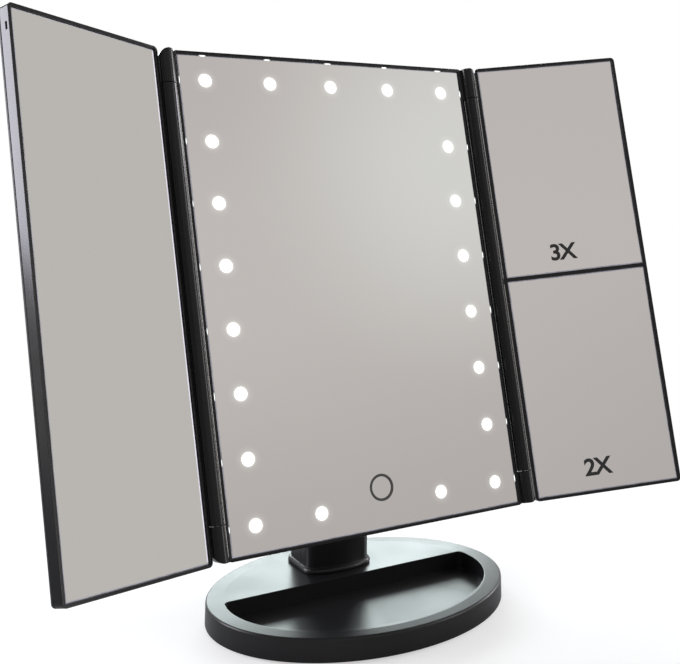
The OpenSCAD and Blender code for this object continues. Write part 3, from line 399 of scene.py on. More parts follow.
class Nodes:
    """Adds nodes to a shader tree and joins them up."""

    def __init__(self, tree):
        self.tree = tree

    def fill(self, sockets, values):
        """Gives each named socket its value: a constant or another node's output."""
        for key, value in values.items():
            if isinstance(value, bpy.types.NodeSocket):
                self.tree.links.new(value, sockets[key])
            else:
                sockets[key].default_value = value

    def put(self, kind, inputs=None, **settings):
        """Adds a node, sets its properties, fills its inputs and gives its outputs."""
        made = self.tree.nodes.new("ShaderNode" + kind)
        for key, value in settings.items():
            setattr(made, key, value)
        self.fill(made.inputs, inputs or {})
        return made.outputs

    def math(self, operation, a, b=0.0):
        return self.put("Math", {0: a, 1: b}, operation=operation)[0]

    def plus(self, a, b):
        return self.math("ADD", a, b)

    def minus(self, a, b):
        return self.math("SUBTRACT", a, b)

    def times(self, a, b):
        return self.math("MULTIPLY", a, b)

    def spread(self, value, low, high, to_low=0.0, to_high=1.0, smooth=False):
        """Maps a value from one range to another, clamped."""
        return self.put("MapRange", {
            "Value": value, "From Min": low, "From Max": high, "To Min": to_low, "To Max": to_high,
        }, interpolation_type="SMOOTHSTEP" if smooth else "LINEAR")["Result"]

    def blend(self, factor, a, b):
        """Colours a and b mixed; each is three numbers or a socket."""
        def full(colour):
            return colour if isinstance(colour, bpy.types.NodeSocket) else (*colour, 1.0)
        return self.put("Mix", {0: factor, 6: full(a), 7: full(b)}, data_type="RGBA")[2]

    def bump(self, height, strength, distance, **under):
        return self.put("Bump", {
            "Height": height, "Strength": strength, "Distance": distance, **under})["Normal"]

    def where(self):
        """A point's place in the object's own coordinates."""
        return self.put("TexCoord")["Object"]

    def axes(self, vector):
        return self.put("SeparateXYZ", {0: vector})

    def length(self, vector):
        return self.put("VectorMath", {0: vector}, operation="LENGTH")["Value"]

    def away(self, a, b):
        """How far the flat point (a, b) is from (0, 0)."""
        return self.length(self.put("CombineXYZ", {0: a, 1: b})[0])

    def noise(self, scale, detail, vector=None, **more):
        vector = self.where() if vector is None else vector
        return self.put("TexNoise", {"Vector": vector, "Scale": scale, "Detail": detail, **more})["Fac"]

    def cells(self, scale):
        """Distance from the nearest of many scattered points."""
        return self.put("TexVoronoi", {"Vector": self.where(), "Scale": scale})["Distance"]

    def shared(self, group, **values):
        """Adds a shared effect. The names of its inputs are given with _ for each space."""
        made = self.tree.nodes.new("ShaderNodeGroup")
        made.node_tree = group
        self.fill(made.inputs, {key.replace("_", " "): value for key, value in values.items()})
        return made.outputs

    def grain(self, grains=2500.0, clouds=14.0):
        return self.shared(grain_group(), Grains_per_metre=grains, Clouds_per_metre=clouds)

    def marks(self, smudges=30.0, dust=900.0):
        return self.shared(handling_group(), Smudges_per_metre=smudges, Dust_per_metre=dust)


def emptied(owner):
    """The nodes of a material or world, cleared."""
    owner.use_nodes = True
    owner.node_tree.nodes.clear()
    return Nodes(owner.node_tree)


def effect(name, given, found):
    """For an effect that materials share: a node group with the given float inputs and their
    defaults, and the outputs that are found. It is built on its first use."""
    def wrap(build):
        def get():
            if name in bpy.data.node_groups:
                return bpy.data.node_groups[name]
            tree = bpy.data.node_groups.new(name, "ShaderNodeTree")
            for key, value in given.items():
                tree.interface.new_socket(
                    key, in_out="INPUT", socket_type="NodeSocketFloat").default_value = value
            for key in found:
                tree.interface.new_socket(key, in_out="OUTPUT", socket_type="NodeSocketFloat")
            n = Nodes(tree)
            values = build(n, tree.nodes.new("NodeGroupInput").outputs)
            n.fill(tree.nodes.new("NodeGroupOutput").inputs, values)
            return tree
        return get
    return wrap


@effect("Moulding grain", {"Grains per metre": 2500.0, "Clouds per metre": 14.0}, ("Height", "Cloud"))
def grain_group(n, given):
    """Fine moulding grain, and the slow change of tone over a moulded part."""
    slow = n.noise(given["Clouds per metre"], 4.0, Roughness=0.55)
    return {"Height": n.noise(given["Grains per metre"], 3.0, Roughness=0.6),
            "Cloud": n.spread(slow, 0.32, 0.68)}


@effect("Handling marks", {"Smudges per metre": 30.0, "Dust per metre": 900.0}, ("Smudge", "Dust"))
def handling_group(n, given):
    """Faint smudges and sparse dust left by handling."""
    wide = n.noise(given["Smudges per metre"], 5.0, Roughness=0.7, Distortion=0.6)
    specks = n.spread(n.cells(given["Dust per metre"]), 0.05, 0.16, 1.0, 0.0)
    cover = n.spread(n.noise(55.0, 2.0), 0.52, 0.7)
    return {"Smudge": n.spread(wide, 0.48, 0.75), "Dust": n.times(specks, cover)}


@effect("Rubbed edges", {"Amount": 0.6, "Patches per metre": 60.0}, ("Worn",))
def rubbed_group(n, given):
    """Edges rubbed bright by use, where the mesh marks its corners as worn."""
    edge = n.put("Attribute", attribute_name="worn")["Fac"]
    patches = n.noise(given["Patches per metre"], 6.0, Roughness=0.7)
    rubbed = n.times(edge, n.spread(patches, 0.38, 0.66))
    return {"Worn": n.times(rubbed, given["Amount"])}


# ---- finishes ----

def finish(build):
    """For a finish: build gives the values of a Principled shader's inputs. The material of a
    name is built on its first use."""
    def get(name, *given, **options):
        if name not in bpy.data.materials:
            n = emptied(bpy.data.materials.new(name))
            shader = n.tree.nodes.new("ShaderNodeBsdfPrincipled")
            n.put("OutputMaterial", {"Surface": shader.outputs["BSDF"]})
            n.fill(shader.inputs, build(n, *given, **options))
        return bpy.data.materials[name]
    return get


def scaled(colour, factor, lift=0.0):
    return [factor * c + lift for c in colour]


def crowned_edge(n, sizes):
    """Normal of the base's top, which falls away a little towards its outer edge."""
    place = n.axes(n.where())
    out = n.away(n.math("DIVIDE", place["X"], sizes.base_half_width),
                 n.math("DIVIDE", place["Y"], sizes.base_half_depth))
    return n.bump(n.times(n.spread(out, 0.88, 1.0), -sizes.crown), 1.0, 1.0)


@finish
def moulded_plastic(n, colour, rough, grains=2500.0, depth=0.25, rub=0.5, dust=0.10, ior=1.42,
                    crowned=None):
    """Injection-moulded plastic: rough is the lowest and highest roughness. With crowned, the
    sizes, it shades the base's crowned edge."""
    grain, marks = n.grain(grains), n.marks()
    worn = n.shared(rubbed_group(), Amount=rub)["Worn"]
    tone = n.blend(grain["Cloud"], scaled(colour, 0.85), scaled(colour, 1.25, 0.001))
    tone = n.blend(worn, tone, scaled(colour, 1.6, 0.012))
    roughness = n.plus(n.spread(grain["Cloud"], 0.0, 1.0, *rough), n.times(marks["Smudge"], 0.05))
    under = {"Normal": crowned_edge(n, crowned)} if crowned else {}
    return {"Base Color": n.blend(n.times(marks["Dust"], dust), tone, (0.30, 0.29, 0.28)),
            "Roughness": n.minus(roughness, n.times(worn, 0.06)),
            "IOR": ior,
            "Normal": n.bump(grain["Height"], depth, 0.00004, **under)}


# Name: colour, or how bright beside the black plastic; lowest and highest roughness; the rest
PLASTICS = {
    "satin_black": (1.0, (0.27, 0.34), {}),
    "crowned_black": (1.0, (0.27, 0.34), {}),
    "polished_black": (0.6, (0.16, 0.22), {"depth": 0.03, "rub": 0.25, "ior": 1.38}),
    "textured_black": (1.0, (0.42, 0.52), {"grains": 1500.0, "depth": 0.55, "rub": 0.4}),
    "foot_rubber": (
        (0.02, 0.02, 0.02), (0.7, 0.85), {"grains": 3500.0, "depth": 0.5, "rub": 0.2, "dust": 0.3}),
    "white_nylon": ((0.70, 0.68, 0.62), (0.38, 0.5), {"depth": 0.15, "rub": 0.0}),
    "switch_white": ((0.72, 0.72, 0.70), (0.3, 0.4), {"depth": 0.12, "rub": 0.0}),
    "mirror_back_paint": ((0.16, 0.17, 0.18), (0.5, 0.62), {"grains": 900.0, "depth": 0.3, "rub": 0.0}),
}


def plastic(name, **more):
    colour, rough, rest = PLASTICS[name]
    if isinstance(colour, float):
        colour = scaled(bpy.context.scene.vanity_colours.plastic, colour)
    return moulded_plastic(name, colour, rough, **rest, **more)


@finish
def lined_metal(n, colour, rough, lines, stretch):
    """Turned or drawn metal with fine lines, stretched where they run."""
    grain, marks = n.grain(1800.0, 90.0), n.marks(120.0)
    drawn = n.put("Mapping", {"Vector": n.where(), "Scale": stretch})["Vector"]
    scratch = n.noise(lines, 2.0, drawn, Roughness=0.5)
    tone = n.blend(grain["Cloud"], scaled(colour, 0.8), colour)
    return {"Base Color": n.blend(n.times(marks["Smudge"], 0.35), tone, scaled(colour, 0.6)),
            "Metallic": 1.0,
            "Roughness": n.plus(n.spread(scratch, 0.3, 0.7, *rough), n.times(marks["Smudge"], 0.08)),
            "Normal": n.bump(scratch, 0.25, 0.00003)}


ALONG_X, ALONG_Z = (0.05, 1, 1), (1, 1, 0.05)
# Name: colour, lowest and highest roughness, lines per metre, which way they run
METALS = {
    "bright_steel": ((0.60, 0.60, 0.61), (0.22, 0.34), 2600.0, ALONG_X),
    "zinc_plated_steel": ((0.56, 0.58, 0.62), (0.30, 0.42), 1800.0, ALONG_Z),
    "rolled_steel_weight": ((0.34, 0.35, 0.37), (0.35, 0.55), 900.0, ALONG_X),
    "nickel_plate": ((0.66, 0.62, 0.55), (0.18, 0.3), 2200.0, ALONG_X),
}


def metal(name):
    return lined_metal(name, *METALS[name])


def light_halo(n, sizes):
    """Mask of the glow in the glass round each light: 1 at a window's edge, 0 away from it."""
    back = mirror_place(sizes).inverted()
    place = n.axes(n.put("Mapping", {
        "Vector": n.where(), "Rotation": back.to_euler(), "Location": back.translation})["Vector"])
    side, top, step = light_grid(sizes)
    close_reach, wide_reach = 0.0014, 0.0034    # how far the glow spreads from a window's edge
    out = n.math("ABSOLUTE", place["X"])
    above_low = n.minus(place["Z"], sizes.light_low)
    column = n.away(n.minus(out, side), n.math("PINGPONG", above_low, step / 2))
    high_row = n.away(n.math("PINGPONG", out, side / 4), n.minus(place["Z"], top))
    low_row = n.away(n.minus(out, side / 2), above_low)
    nearest = n.math("MINIMUM", column, n.math("MINIMUM", high_row, low_row))
    close = n.spread(nearest, sizes.window_r, sizes.window_r + close_reach, 1.0, 0.0)
    wide = n.spread(nearest, sizes.window_r, sizes.window_r + wide_reach, 0.22, 0.0)
    return n.plus(n.times(n.math("POWER", close, 2.0), 0.78), wide)


@finish
def silvered_face(n, colours, lit):
    marks = n.marks(16.0, 420.0)
    tone = n.blend(n.times(marks["Smudge"], 0.25), tuple(colours.silver), scaled(colours.silver, 0.975))
    values = {"Base Color": n.blend(n.times(marks["Dust"], 0.12), tone, (0.62, 0.62, 0.6)),
              "Metallic": 1.0,
              "Roughness": n.spread(marks["Smudge"], 0.0, 1.0, 0.012, 0.05)}
    if lit:
        values["Emission Color"] = n.blend(light_halo(n, lit), (0.0, 0.0, 0.0), tuple(colours.window))
        values["Emission Strength"] = 0.27
    return values


def silvered(colours, lit=None):
    """The silvered face of a pane: nearly clean, with the faintest film and dust. With lit,
    the sizes, the glass glows round its light windows."""
    return silvered_face("silvered_lit_glass" if lit else "silvered_glass", colours, lit)


@finish
def edge_glass(n, clouds, tones, glow, rough, relief):
    """Glass at a pane's edge: pale, a little lavender, and soft, with a painted glow standing for light
    caught in it.
    """
    grain = n.grain(1400.0, clouds)
    values = {"Base Color": n.blend(grain["Cloud"], *tones),
              "Emission Color": n.blend(grain["Cloud"], *glow),
              "Emission Strength": 0.8,
              "Roughness": n.spread(grain["Height"], 0.3, 0.7, *rough)}
    if relief:
        values["Normal"] = n.bump(grain["Height"], relief, 0.00002)
    return values


def glowing_ground_edge():
    """The ground edge of a pane: pale ground glass with a faint painted glow."""
    return edge_glass("ground_glass_edge", 120.0, ((0.66, 0.64, 0.70), (0.80, 0.79, 0.84)),
                      ((0.12, 0.12, 0.14), (0.26, 0.26, 0.30)), (0.16, 0.3), 0.15)


def glowing_pale_band():
    """The line along a pane's edge where the silvering stops: the clear glass shows pale there, with a
    painted glow on it as a painted highlight.
    """
    return edge_glass("clear_glass_line", 60.0, ((0.70, 0.68, 0.76), (0.80, 0.78, 0.86)),
                      ((0.46, 0.44, 0.52), (0.60, 0.58, 0.66)), (0.12, 0.25), 0.0)


def from_middle(n):
    """How far out a point is on a light, as its mesh says."""
    return n.put("Attribute", attribute_name="from_middle")["Fac"]


@finish
def frosted_light(n, colours):
    """A frosted window lit from behind: hottest in the middle."""
    grain = n.grain(1500.0)
    hot = n.spread(from_middle(n), 0.25, 1.0, 1.0, 0.0, smooth=True)
    return {"Base Color": n.blend(grain["Cloud"], (0.80, 0.80, 0.79), (0.86, 0.86, 0.85)),
            "Emission Color": n.blend(hot, scaled(colours.window, 0.72), tuple(colours.window)),
            "Emission Strength": 2.2,
            "Roughness": n.spread(grain["Height"], 0.3, 0.7, 0.45, 0.6),
            "Normal": n.bump(grain["Height"], 0.3, 0.00003)}


@finish
def leaked_light(n):
    """Light that escapes between a pane's edge and its frame."""
    fade = n.spread(from_middle(n), 0.2, 1.0, 1.0, 0.0, smooth=True)
    bright = n.times(fade, n.spread(n.grain(1200.0)["Height"], 0.25, 0.6, 0.7, 1.0))
    return {"Base Color": n.blend(bright, (0.02, 0.022, 0.02), (0.7, 0.72, 0.7)),
            "Emission Color": n.blend(bright, (0.0, 0.0, 0.0), (0.93, 1.0, 0.96)),
            "Emission Strength": 2.0,
            "Roughness": 0.3}


@finish
def printed_ink(n, colour):
    """Ink with a slightly uneven print."""
    grain = n.grain(4000.0, 300.0)
    return {"Base Color": n.blend(grain["Cloud"], scaled(colour, 0.8), scaled(colour, 1.3)),
            "Roughness": n.spread(grain["Cloud"], 0.0, 1.0, 0.45, 0.6),
            "Normal": n.bump(grain["Height"], 0.2, 0.00002)}


@finish
def circuit_board(n):
    """Green solder mask over copper tracks, with tinned pads."""
    grain = n.grain(5000.0, 200.0)
    tracks = n.put("TexBrick", {
        "Vector": n.where(), "Color1": (0, 0, 0, 1), "Color2": (0, 0, 0, 1), "Mortar": (1, 1, 1, 1),
        "Scale": 260.0, "Mortar Size": 0.06, "Brick Width": 0.9, "Row Height": 0.35})["Fac"]
    pads = n.spread(n.cells(420.0), 0.16, 0.2, 1.0, 0.0)
    mask = n.blend(grain["Cloud"], (0.010, 0.085, 0.035), (0.018, 0.12, 0.05))
    mask = n.blend(tracks, mask, (0.03, 0.20, 0.08))
    return {"Base Color": n.blend(pads, mask, (0.70, 0.70, 0.68)),
            "Metallic": pads,
            "Roughness": n.spread(grain["Cloud"], 0.0, 1.0, 0.22, 0.34),
            "Normal": n.bump(tracks, 0.3, 0.00005)}


@finish
def light_chip(n):
    """A chip's white body with a yellow phosphor face."""
    grain = n.grain(3000.0, 700.0)
    front = n.axes(n.put("NewGeometry")["Normal"])["Y"]
    body = n.blend(grain["Cloud"], (0.74, 0.74, 0.72), (0.82, 0.82, 0.80))
    return {"Base Color": n.blend(n.spread(front, -0.9, -0.8, 1.0, 0.0), body, (0.80, 0.62, 0.18)),
            "Roughness": n.spread(grain["Height"], 0.3, 0.7, 0.35, 0.55)}


@finish
def foam(n):
    """Open white foam, its pores painted darker as painted shade."""
    cells = n.cells(1100.0)
    tone = n.blend(n.grain()["Cloud"], (0.70, 0.69, 0.64), (0.80, 0.79, 0.75))
    # painted shade: darker spots at the pores
    return {"Base Color": n.blend(n.spread(cells, 0.0, 0.4, 0.5, 0.0), tone, (0.45, 0.44, 0.40)),
            "Roughness": n.spread(cells, 0.0, 0.6, 0.95, 0.8),
            "Normal": n.bump(cells, 0.8, 0.0002)}


@finish
def cell_jacket(n, sizes):
    """A cell's printed sleeve with its two steel ends."""
    grain, marks = n.grain(2600.0), n.marks()
    upright = n.put("Mapping", {"Vector": n.where(), "Rotation": (sizes.tilt, 0, 0)})["Vector"]
    middle = sum(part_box("battery_cells"), Vector()) / 2
    centre = (Matrix.Rotation(sizes.tilt, 3, "X") @ middle).z
    away = n.math("ABSOLUTE", n.minus(n.axes(upright)["Z"], centre))
    band, end = n.spread(away, 0.0135, 0.0136), n.spread(away, 0.0243, 0.0244)
    tone = n.blend(band, (0.012, 0.012, 0.014), (0.48, 0.30, 0.10))
    tone = n.blend(end, tone, (0.60, 0.60, 0.60))
    return {"Base Color": n.blend(n.times(marks["Smudge"], 0.2), tone, (0.2, 0.2, 0.2)),
            "Metallic": n.math("MAXIMUM", band, end),
            "Roughness": n.spread(grain["Cloud"], 0.0, 1.0, 0.22, 0.34),
            "Normal": n.bump(grain["Height"], 0.1, 0.00003)}


# ---- operators ----

class PieceOperator:
    """What the operators share: the scene's sizes and colours."""
    bl_options = {"REGISTER", "UNDO"}

    def execute(self, context):
        self.sizes = context.scene.vanity_sizes
        self.colours = context.scene.vanity_colours
        self.make()
        return {"FINISHED"}


class VANITY_OT_base(PieceOperator, bpy.types.Operator):
    """Moulds the oval base with its tray, cover and feet"""
    bl_idname = "vanity.mould_base"
    bl_label = "Base"

    def make(self):
        floor_z = 0.0034    # the tray's floor keeps its sharp corner

        def at_floor(edge):
            return all(abs(v.co.z - floor_z) < TOUCH for v in edge.verts)

        moulded("tray_base", "base_shell", "stand", plastic("crowned_black", crowned=self.sizes),
                self.sizes.edge_round, sharp=at_floor)
        moulded("bottom_cover", "base_cover", "stand", plastic("textured_black"), COVER_ROUND)
        moulded("soft_feet", "base_feet", "stand", plastic("foot_rubber"), FOOT_ROUND)
        paint(metal("rolled_steel_weight"), "base_weight")
        paint(metal("zinc_plated_steel"), "cover_screws")


class VANITY_OT_neck(PieceOperator, bpy.types.Operator):
    """Moulds the neck's two shells"""
    bl_idname = "vanity.mould_neck"
    bl_label = "Neck"

    def make(self):
        satin = plastic("satin_black")
        moulded("neck_front_shell", "neck_front", "stand", satin, self.sizes.edge_round)
        moulded("neck_rear_shell", "neck_rear", "stand", satin, self.sizes.edge_round)
        paint(metal("zinc_plated_steel"), "neck_foot_screws", "neck_shell_screws")


class VANITY_OT_centre_frame(PieceOperator, bpy.types.Operator):
    """Moulds the thin rim with its hinge knuckles"""
    bl_idname = "vanity.mould_centre_frame"
    bl_label = "Centre frame"

    def make(self):
        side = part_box("centre_glass")[1].x + self.sizes.rim_width

        def beside_post(edge):
            return all(abs(abs(v.co.x) - side) < 2e-5 for v in edge.verts)

        moulded("centre_rim", "centre_frame", "mirror", plastic("polished_black"), self.sizes.rim_round,
                sharp=beside_post)
        paint(metal("bright_steel"), "hinge_pins")


def grind_edge(mesh, edges, width):
    """Bevels a pane's front edges. Gives the bevel's faces."""
    return set(bmesh.ops.bevel(
        mesh, geom=edges, offset=width, offset_type="OFFSET", segments=1, profile=0.5,
        affect="EDGES", clamp_overlap=False, material=EDGE)["faces"])


def coat_faces(mesh, bevel, turn):
    """Gives a pane's faces their materials by the way they look once turned."""
    for face in mesh.faces:
        if face not in bevel:
            y = (turn @ face.normal).normalized().y
            face.material_index = FRONT if y < -SQUARE_ON else BACK if y > SQUARE_ON else EDGE
            face.smooth = y < -SQUARE_ON


def bevelled_pane(name, node, place, body, sizes, face_finish, band=0.0):
    """A pane with a ground bevel round its face: silvered face, ground edge with a faint painted glow,
    painted back. The band is the width of the pale line inside the bevel, on the side next to the
    hinge; that line is pale glass with a painted glow on it."""
    mesh = merged_copy(node)
    back = place.inverted()
    low, high = corners([back @ v.co for v in mesh.verts])
    near_face, level, beside_hinge = 0.0009, 0.0006, 0.002

    def on_rim(a, b):
        middle = (a + b) / 2
        aside = min(abs(middle[i] - end[i]) for i in (0, 2) for end in (low, high))
        return aside < TOUCH and middle.y < low.y + near_face and abs(a.y - b.y) < level

    front = [edge for edge in mesh.edges if edge.calc_face_angle() > HARD_EDGE
             and on_rim(*(back @ v.co for v in edge.verts))]
    coat_faces(mesh, grind_edge(mesh, front, sizes.pane_bevel), back.to_3x3())
    # the band inside the bevel gets the pale glass with a painted glow
    if band:
        silver = [face for face in mesh.faces if face.material_index == FRONT]
        for face in bmesh.ops.inset_region(mesh, faces=silver, thickness=band, depth=0.0)["faces"]:
            if (back @ face.calc_center_median()).x < low.x + beside_hinge:
                face.material_index = GLOW_BAND
    coats = [face_finish, glowing_ground_edge(), plastic("mirror_back_paint"), glowing_pale_band()]
    new_piece(name, mesh, body, coats, replaces=[node])


def hollow_depth(sizes, upper, x, z):
    """How deep a magnifying pane's face lies behind its flat rim at a place in the wing's frame."""
    low, high = pane_span(sizes, upper)
    across = sizes.pane_out - sizes.pane_in
    half_diagonal = Vector((across, high - low)).length / 2
    away = Vector((x - (sizes.pane_in + sizes.pane_out) / 2, z - (low + high) / 2)).length
    radius = sizes.upper_radius if upper else sizes.lower_radius
    return sqrt(radius ** 2 - away ** 2) - sqrt(radius ** 2 - half_diagonal ** 2)


def pane_span(sizes, upper):
    """Lower and upper edge of a magnifying pane."""
    half_bar = sizes.bar_gap / 2
    middle = sizes.glass_h / 2
    return (middle + half_bar, sizes.glass_h) if upper else (0.0, middle - half_bar)


def hollow_pane(name, node, upper, sizes, colours):
    """A magnifying pane: a finely divided hollow face, a ground bevel with a faint painted glow and a
    painted back.
    """
    low, high = pane_span(sizes, upper)
    face_y = sizes.wing_face
    across = sizes.pane_out - sizes.pane_in
    mesh = bmesh.new()
    bmesh.ops.create_grid(mesh, x_segments=40, y_segments=56, size=0.5)
    place = (Matrix.Translation(((sizes.pane_in + sizes.pane_out) / 2, face_y, (low + high) / 2))
             @ LIE_UPRIGHT @ Matrix.Diagonal((across, high - low, 1, 1)))
    bmesh.ops.transform(mesh, matrix=place, verts=mesh.verts)
    walls = bmesh.ops.extrude_edge_only(mesh, edges=[e for e in mesh.edges if e.is_boundary])["geom"]
    rear = {v for v in walls if isinstance(v, bmesh.types.BMVert)}
    for vert in mesh.verts:
        if vert in rear:
            vert.co.y = face_y + sizes.magnifier_t
        else:
            vert.co.y += hollow_depth(sizes, upper, vert.co.x, vert.co.z)
    bmesh.ops.holes_fill(mesh, edges=[e for e in walls if isinstance(e, bmesh.types.BMEdge)], sides=0)
    bmesh.ops.recalc_face_normals(mesh, faces=mesh.faces)
    front = [e for e in mesh.edges if e.calc_face_angle() > HARD_EDGE and not rear.intersection(e.verts)
             and (e.verts[0].co - e.verts[1].co).xz.length > 1e-4]
    coat_faces(mesh, grind_edge(mesh, front, sizes.pane_bevel), Matrix.Identity(3))
    for edge in mesh.edges:
        edge.smooth = not (edge.is_manifold and edge.calc_face_angle() > radians(10))
    coats = [silvered(colours), glowing_ground_edge(), plastic("mirror_back_paint")]
    new_piece(name, mesh, "right_wing", coats, right_wing_place(sizes), [node])


class VANITY_OT_panes(PieceOperator, bpy.types.Operator):
    """Silvers the centre pane, the left wing's pane and the two magnifying panes"""
    bl_idname = "vanity.silver_panes"
    bl_label = "Silvered panes"

    def make(self):
        sizes = self.sizes
        bevelled_pane("centre_pane", "centre_glass", mirror_place(sizes), "mirror", sizes,
                      silvered(self.colours, lit=sizes))
        bevelled_pane("left_pane", "left_wing_glass", left_wing_place(sizes), "left_wing", sizes,
                      silvered(self.colours), band=sizes.pane_glow_band)
        hollow_pane("upper_magnifying_pane", "right_glass_3x", True, sizes, self.colours)
        hollow_pane("lower_magnifying_pane", "right_glass_2x", False, sizes, self.colours)


class VANITY_OT_windows(PieceOperator, bpy.types.Operator):
    """Sets the frosted light windows into the centre pane"""
    bl_idname = "vanity.frost_windows"
    bl_label = "Light windows"

    def make(self):
        sizes = self.sizes
        set_in, rings, ring_step = 0.00005, 3, 0.22     # behind the pane's face; rings for the hot middle
        mesh = bmesh.new()
        for x, z in light_places(sizes):
            before = set(mesh.verts)
            bmesh.ops.create_circle(mesh, cap_ends=True, segments=40, radius=sizes.window_r)
            face = next(v for v in mesh.verts if v not in before).link_faces[0]
            wall = bmesh.ops.extrude_face_region(mesh, geom=[face])["geom"]
            top = [v for v in wall if isinstance(v, bmesh.types.BMVert)]
            bmesh.ops.translate(mesh, verts=top, vec=(0, 0, sizes.glass_t - set_in))
            cap = next(f for f in wall if isinstance(f, bmesh.types.BMFace))
            for _ in range(rings):
                bmesh.ops.inset_region(mesh, faces=[cap], thickness=sizes.window_r * ring_step, depth=0.0)
            bmesh.ops.transform(
                mesh, matrix=Matrix.Translation((x, sizes.glass_t, z)) @ LIE_UPRIGHT,
                verts=[v for v in mesh.verts if v not in before])
        bmesh.ops.recalc_face_normals(mesh, faces=mesh.faces)
        out = mesh.verts.layers.float.new("from_middle")
        for vert in mesh.verts:
            nearest = min(Vector((vert.co.x - x, vert.co.z - z)).length for x, z in light_places(sizes))
            vert[out] = nearest / sizes.window_r
        for face in mesh.faces:
            face.smooth = abs(face.normal.y) < 0.5
        new_piece("frosted_windows", mesh, "mirror",
                  [frosted_light("lit_frosted_window", self.colours)], mirror_place(sizes),
                  ["light_windows"])
        paint(printed_ink("ring_ink", (0.055, 0.055, 0.052)), "touch_ring")


class VANITY_OT_leaks(PieceOperator, bpy.types.Operator):
    """Lays the slivers of light that escape at the centre pane's edges"""
    bl_idname = "vanity.leak_light"
    bl_label = "Edge light"

    def make(self):
        sizes = self.sizes
        mesh = bmesh.new()
        half, high = sizes.glass_w / 2, sizes.glass_h
        side, top, _ = light_grid(sizes)
        wide, narrow, in_front = 0.00065, 0.0004, 0.00028
        spots = []
        for x, z in light_places(sizes):
            if abs(abs(x) - side) < SAME:
                spots.append((half * (1 if x > 0 else -1), z, True))
            if abs(z - top) < SAME:
                spots.append((x, high, False))
        out = mesh.verts.layers.float.new("from_middle")
        for i, (x, z, stands) in enumerate(spots):
            length = 0.0042 + 0.0011 * ((7 * i) % 5) / 4    # uneven, from 4.2 to 5.3 mm
            before = set(mesh.verts)
            bmesh.ops.create_grid(mesh, x_segments=8, y_segments=2, size=0.5)
            grid = [v for v in mesh.verts if v not in before]
            for vert in grid:
                vert[out] = abs(vert.co.x) * 2
            shape = Matrix.Diagonal((length, narrow if stands and x >= 0 else wide, 1, 1))
            turn = Matrix.Rotation(radians(90 if stands else 0), 4, "Z")
            place = Matrix.Translation((x, in_front, z)) @ LIE_UPRIGHT @ turn
            bmesh.ops.transform(mesh, matrix=place @ shape, verts=grid)
        new_piece("edge_light", mesh, "mirror", [leaked_light("leaked_light")],
                  mirror_place(sizes))


class VANITY_OT_wings(PieceOperator, bpy.types.Operator):
    """Moulds both wings' frames and back covers"""
    bl_idname = "vanity.mould_wings"
    bl_label = "Wings"

    def make(self):
        gloss = plastic("polished_black")
        back = plastic("textured_black")
        for side, way in (("left", -1), ("right", 1)):
            post = (mirror_place(self.sizes), (way * self.sizes.hinge_out, -self.sizes.hinge_front),
                    self.sizes.post_radius)
            moulded(f"{side}_wing_rim", f"{side}_wing_frame", f"{side}_wing", gloss, self.sizes.rim_round,
                    post=post)
            moulded(f"{side}_wing_cover", f"{side}_wing_back", f"{side}_wing", back, WING_BACK_ROUND,
                    segments=3)
            paint(foam("white_foam"), f"{side}_wing_pads")


class VANITY_OT_marks(PieceOperator, bpy.types.Operator):
    """Prints the 3X and 2X marks on the magnifying panes"""
    bl_idname = "vanity.print_marks"
    bl_label = "Magnifying marks"

    def make(self):
        sizes = self.sizes
        ink = printed_ink("mark_ink", tuple(self.colours.ink))
        in_front = 0.00003
        for name, word, x, z in (("mark_3x", "3X", 0.0400, 0.1252), ("mark_2x", "2X", 0.0411, 0.0077)):
            text = bpy.data.curves.new(name, "FONT")
            text.body = word
            text.size = 1.0
            text.offset = 0.026
            text.space_character = 0.89
            shown = link(name + "_text", text)
            bpy.context.view_layer.update()
            data = bpy.data.meshes.new_from_object(
                shown.evaluated_get(bpy.context.evaluated_depsgraph_get()))
            bpy.data.objects.remove(shown)
            mesh = bmesh.new()
            mesh.from_mesh(data)
            bmesh.ops.remove_doubles(mesh, verts=mesh.verts, dist=1e-5)
            low, high = corners([v.co for v in mesh.verts])
            scale = sizes.mark_height / (high.y - low.y)
            fit = (Matrix.Translation((x, 0, z)) @ LIE_UPRIGHT
                   @ Matrix.Diagonal((1.04 * scale, scale, 1, 1))
                   @ Matrix.Translation((-(low.x + high.x) / 2, -low.y, 0)))
            bmesh.ops.transform(mesh, matrix=fit, verts=mesh.verts)
            bmesh.ops.subdivide_edges(
                mesh, edges=[e for e in mesh.edges if e.calc_length() > 0.002], cuts=3)
            for vert in mesh.verts:
                depth = hollow_depth(sizes, word == "3X", vert.co.x, vert.co.z)
                vert.co.y = sizes.wing_face + depth - in_front
            new_piece(name, mesh, "right_wing", [ink], right_wing_place(sizes))


class VANITY_OT_housing(PieceOperator, bpy.types.Operator):
    """Moulds the rear housing, battery door and tilt bracket"""
    bl_idname = "vanity.mould_housing"
    bl_label = "Rear housing"

    def make(self):
        back = plastic("textured_black")
        moulded("rear_shell", "rear_housing", "mirror", back, self.sizes.edge_round)
        moulded("battery_lid", "battery_door", "door", back, COVER_ROUND)
        moulded("tilt_yoke", "tilt_bracket", "mirror", back, self.sizes.edge_round)
        moulded("pin_end_caps", "pin_caps", "mirror", plastic("satin_black"), CAP_ROUND)
        paint(metal("bright_steel"), "tilt_pin")
        paint(plastic("white_nylon"), "friction_washers")
        paint(metal("zinc_plated_steel"), "housing_screws", "bracket_screws")


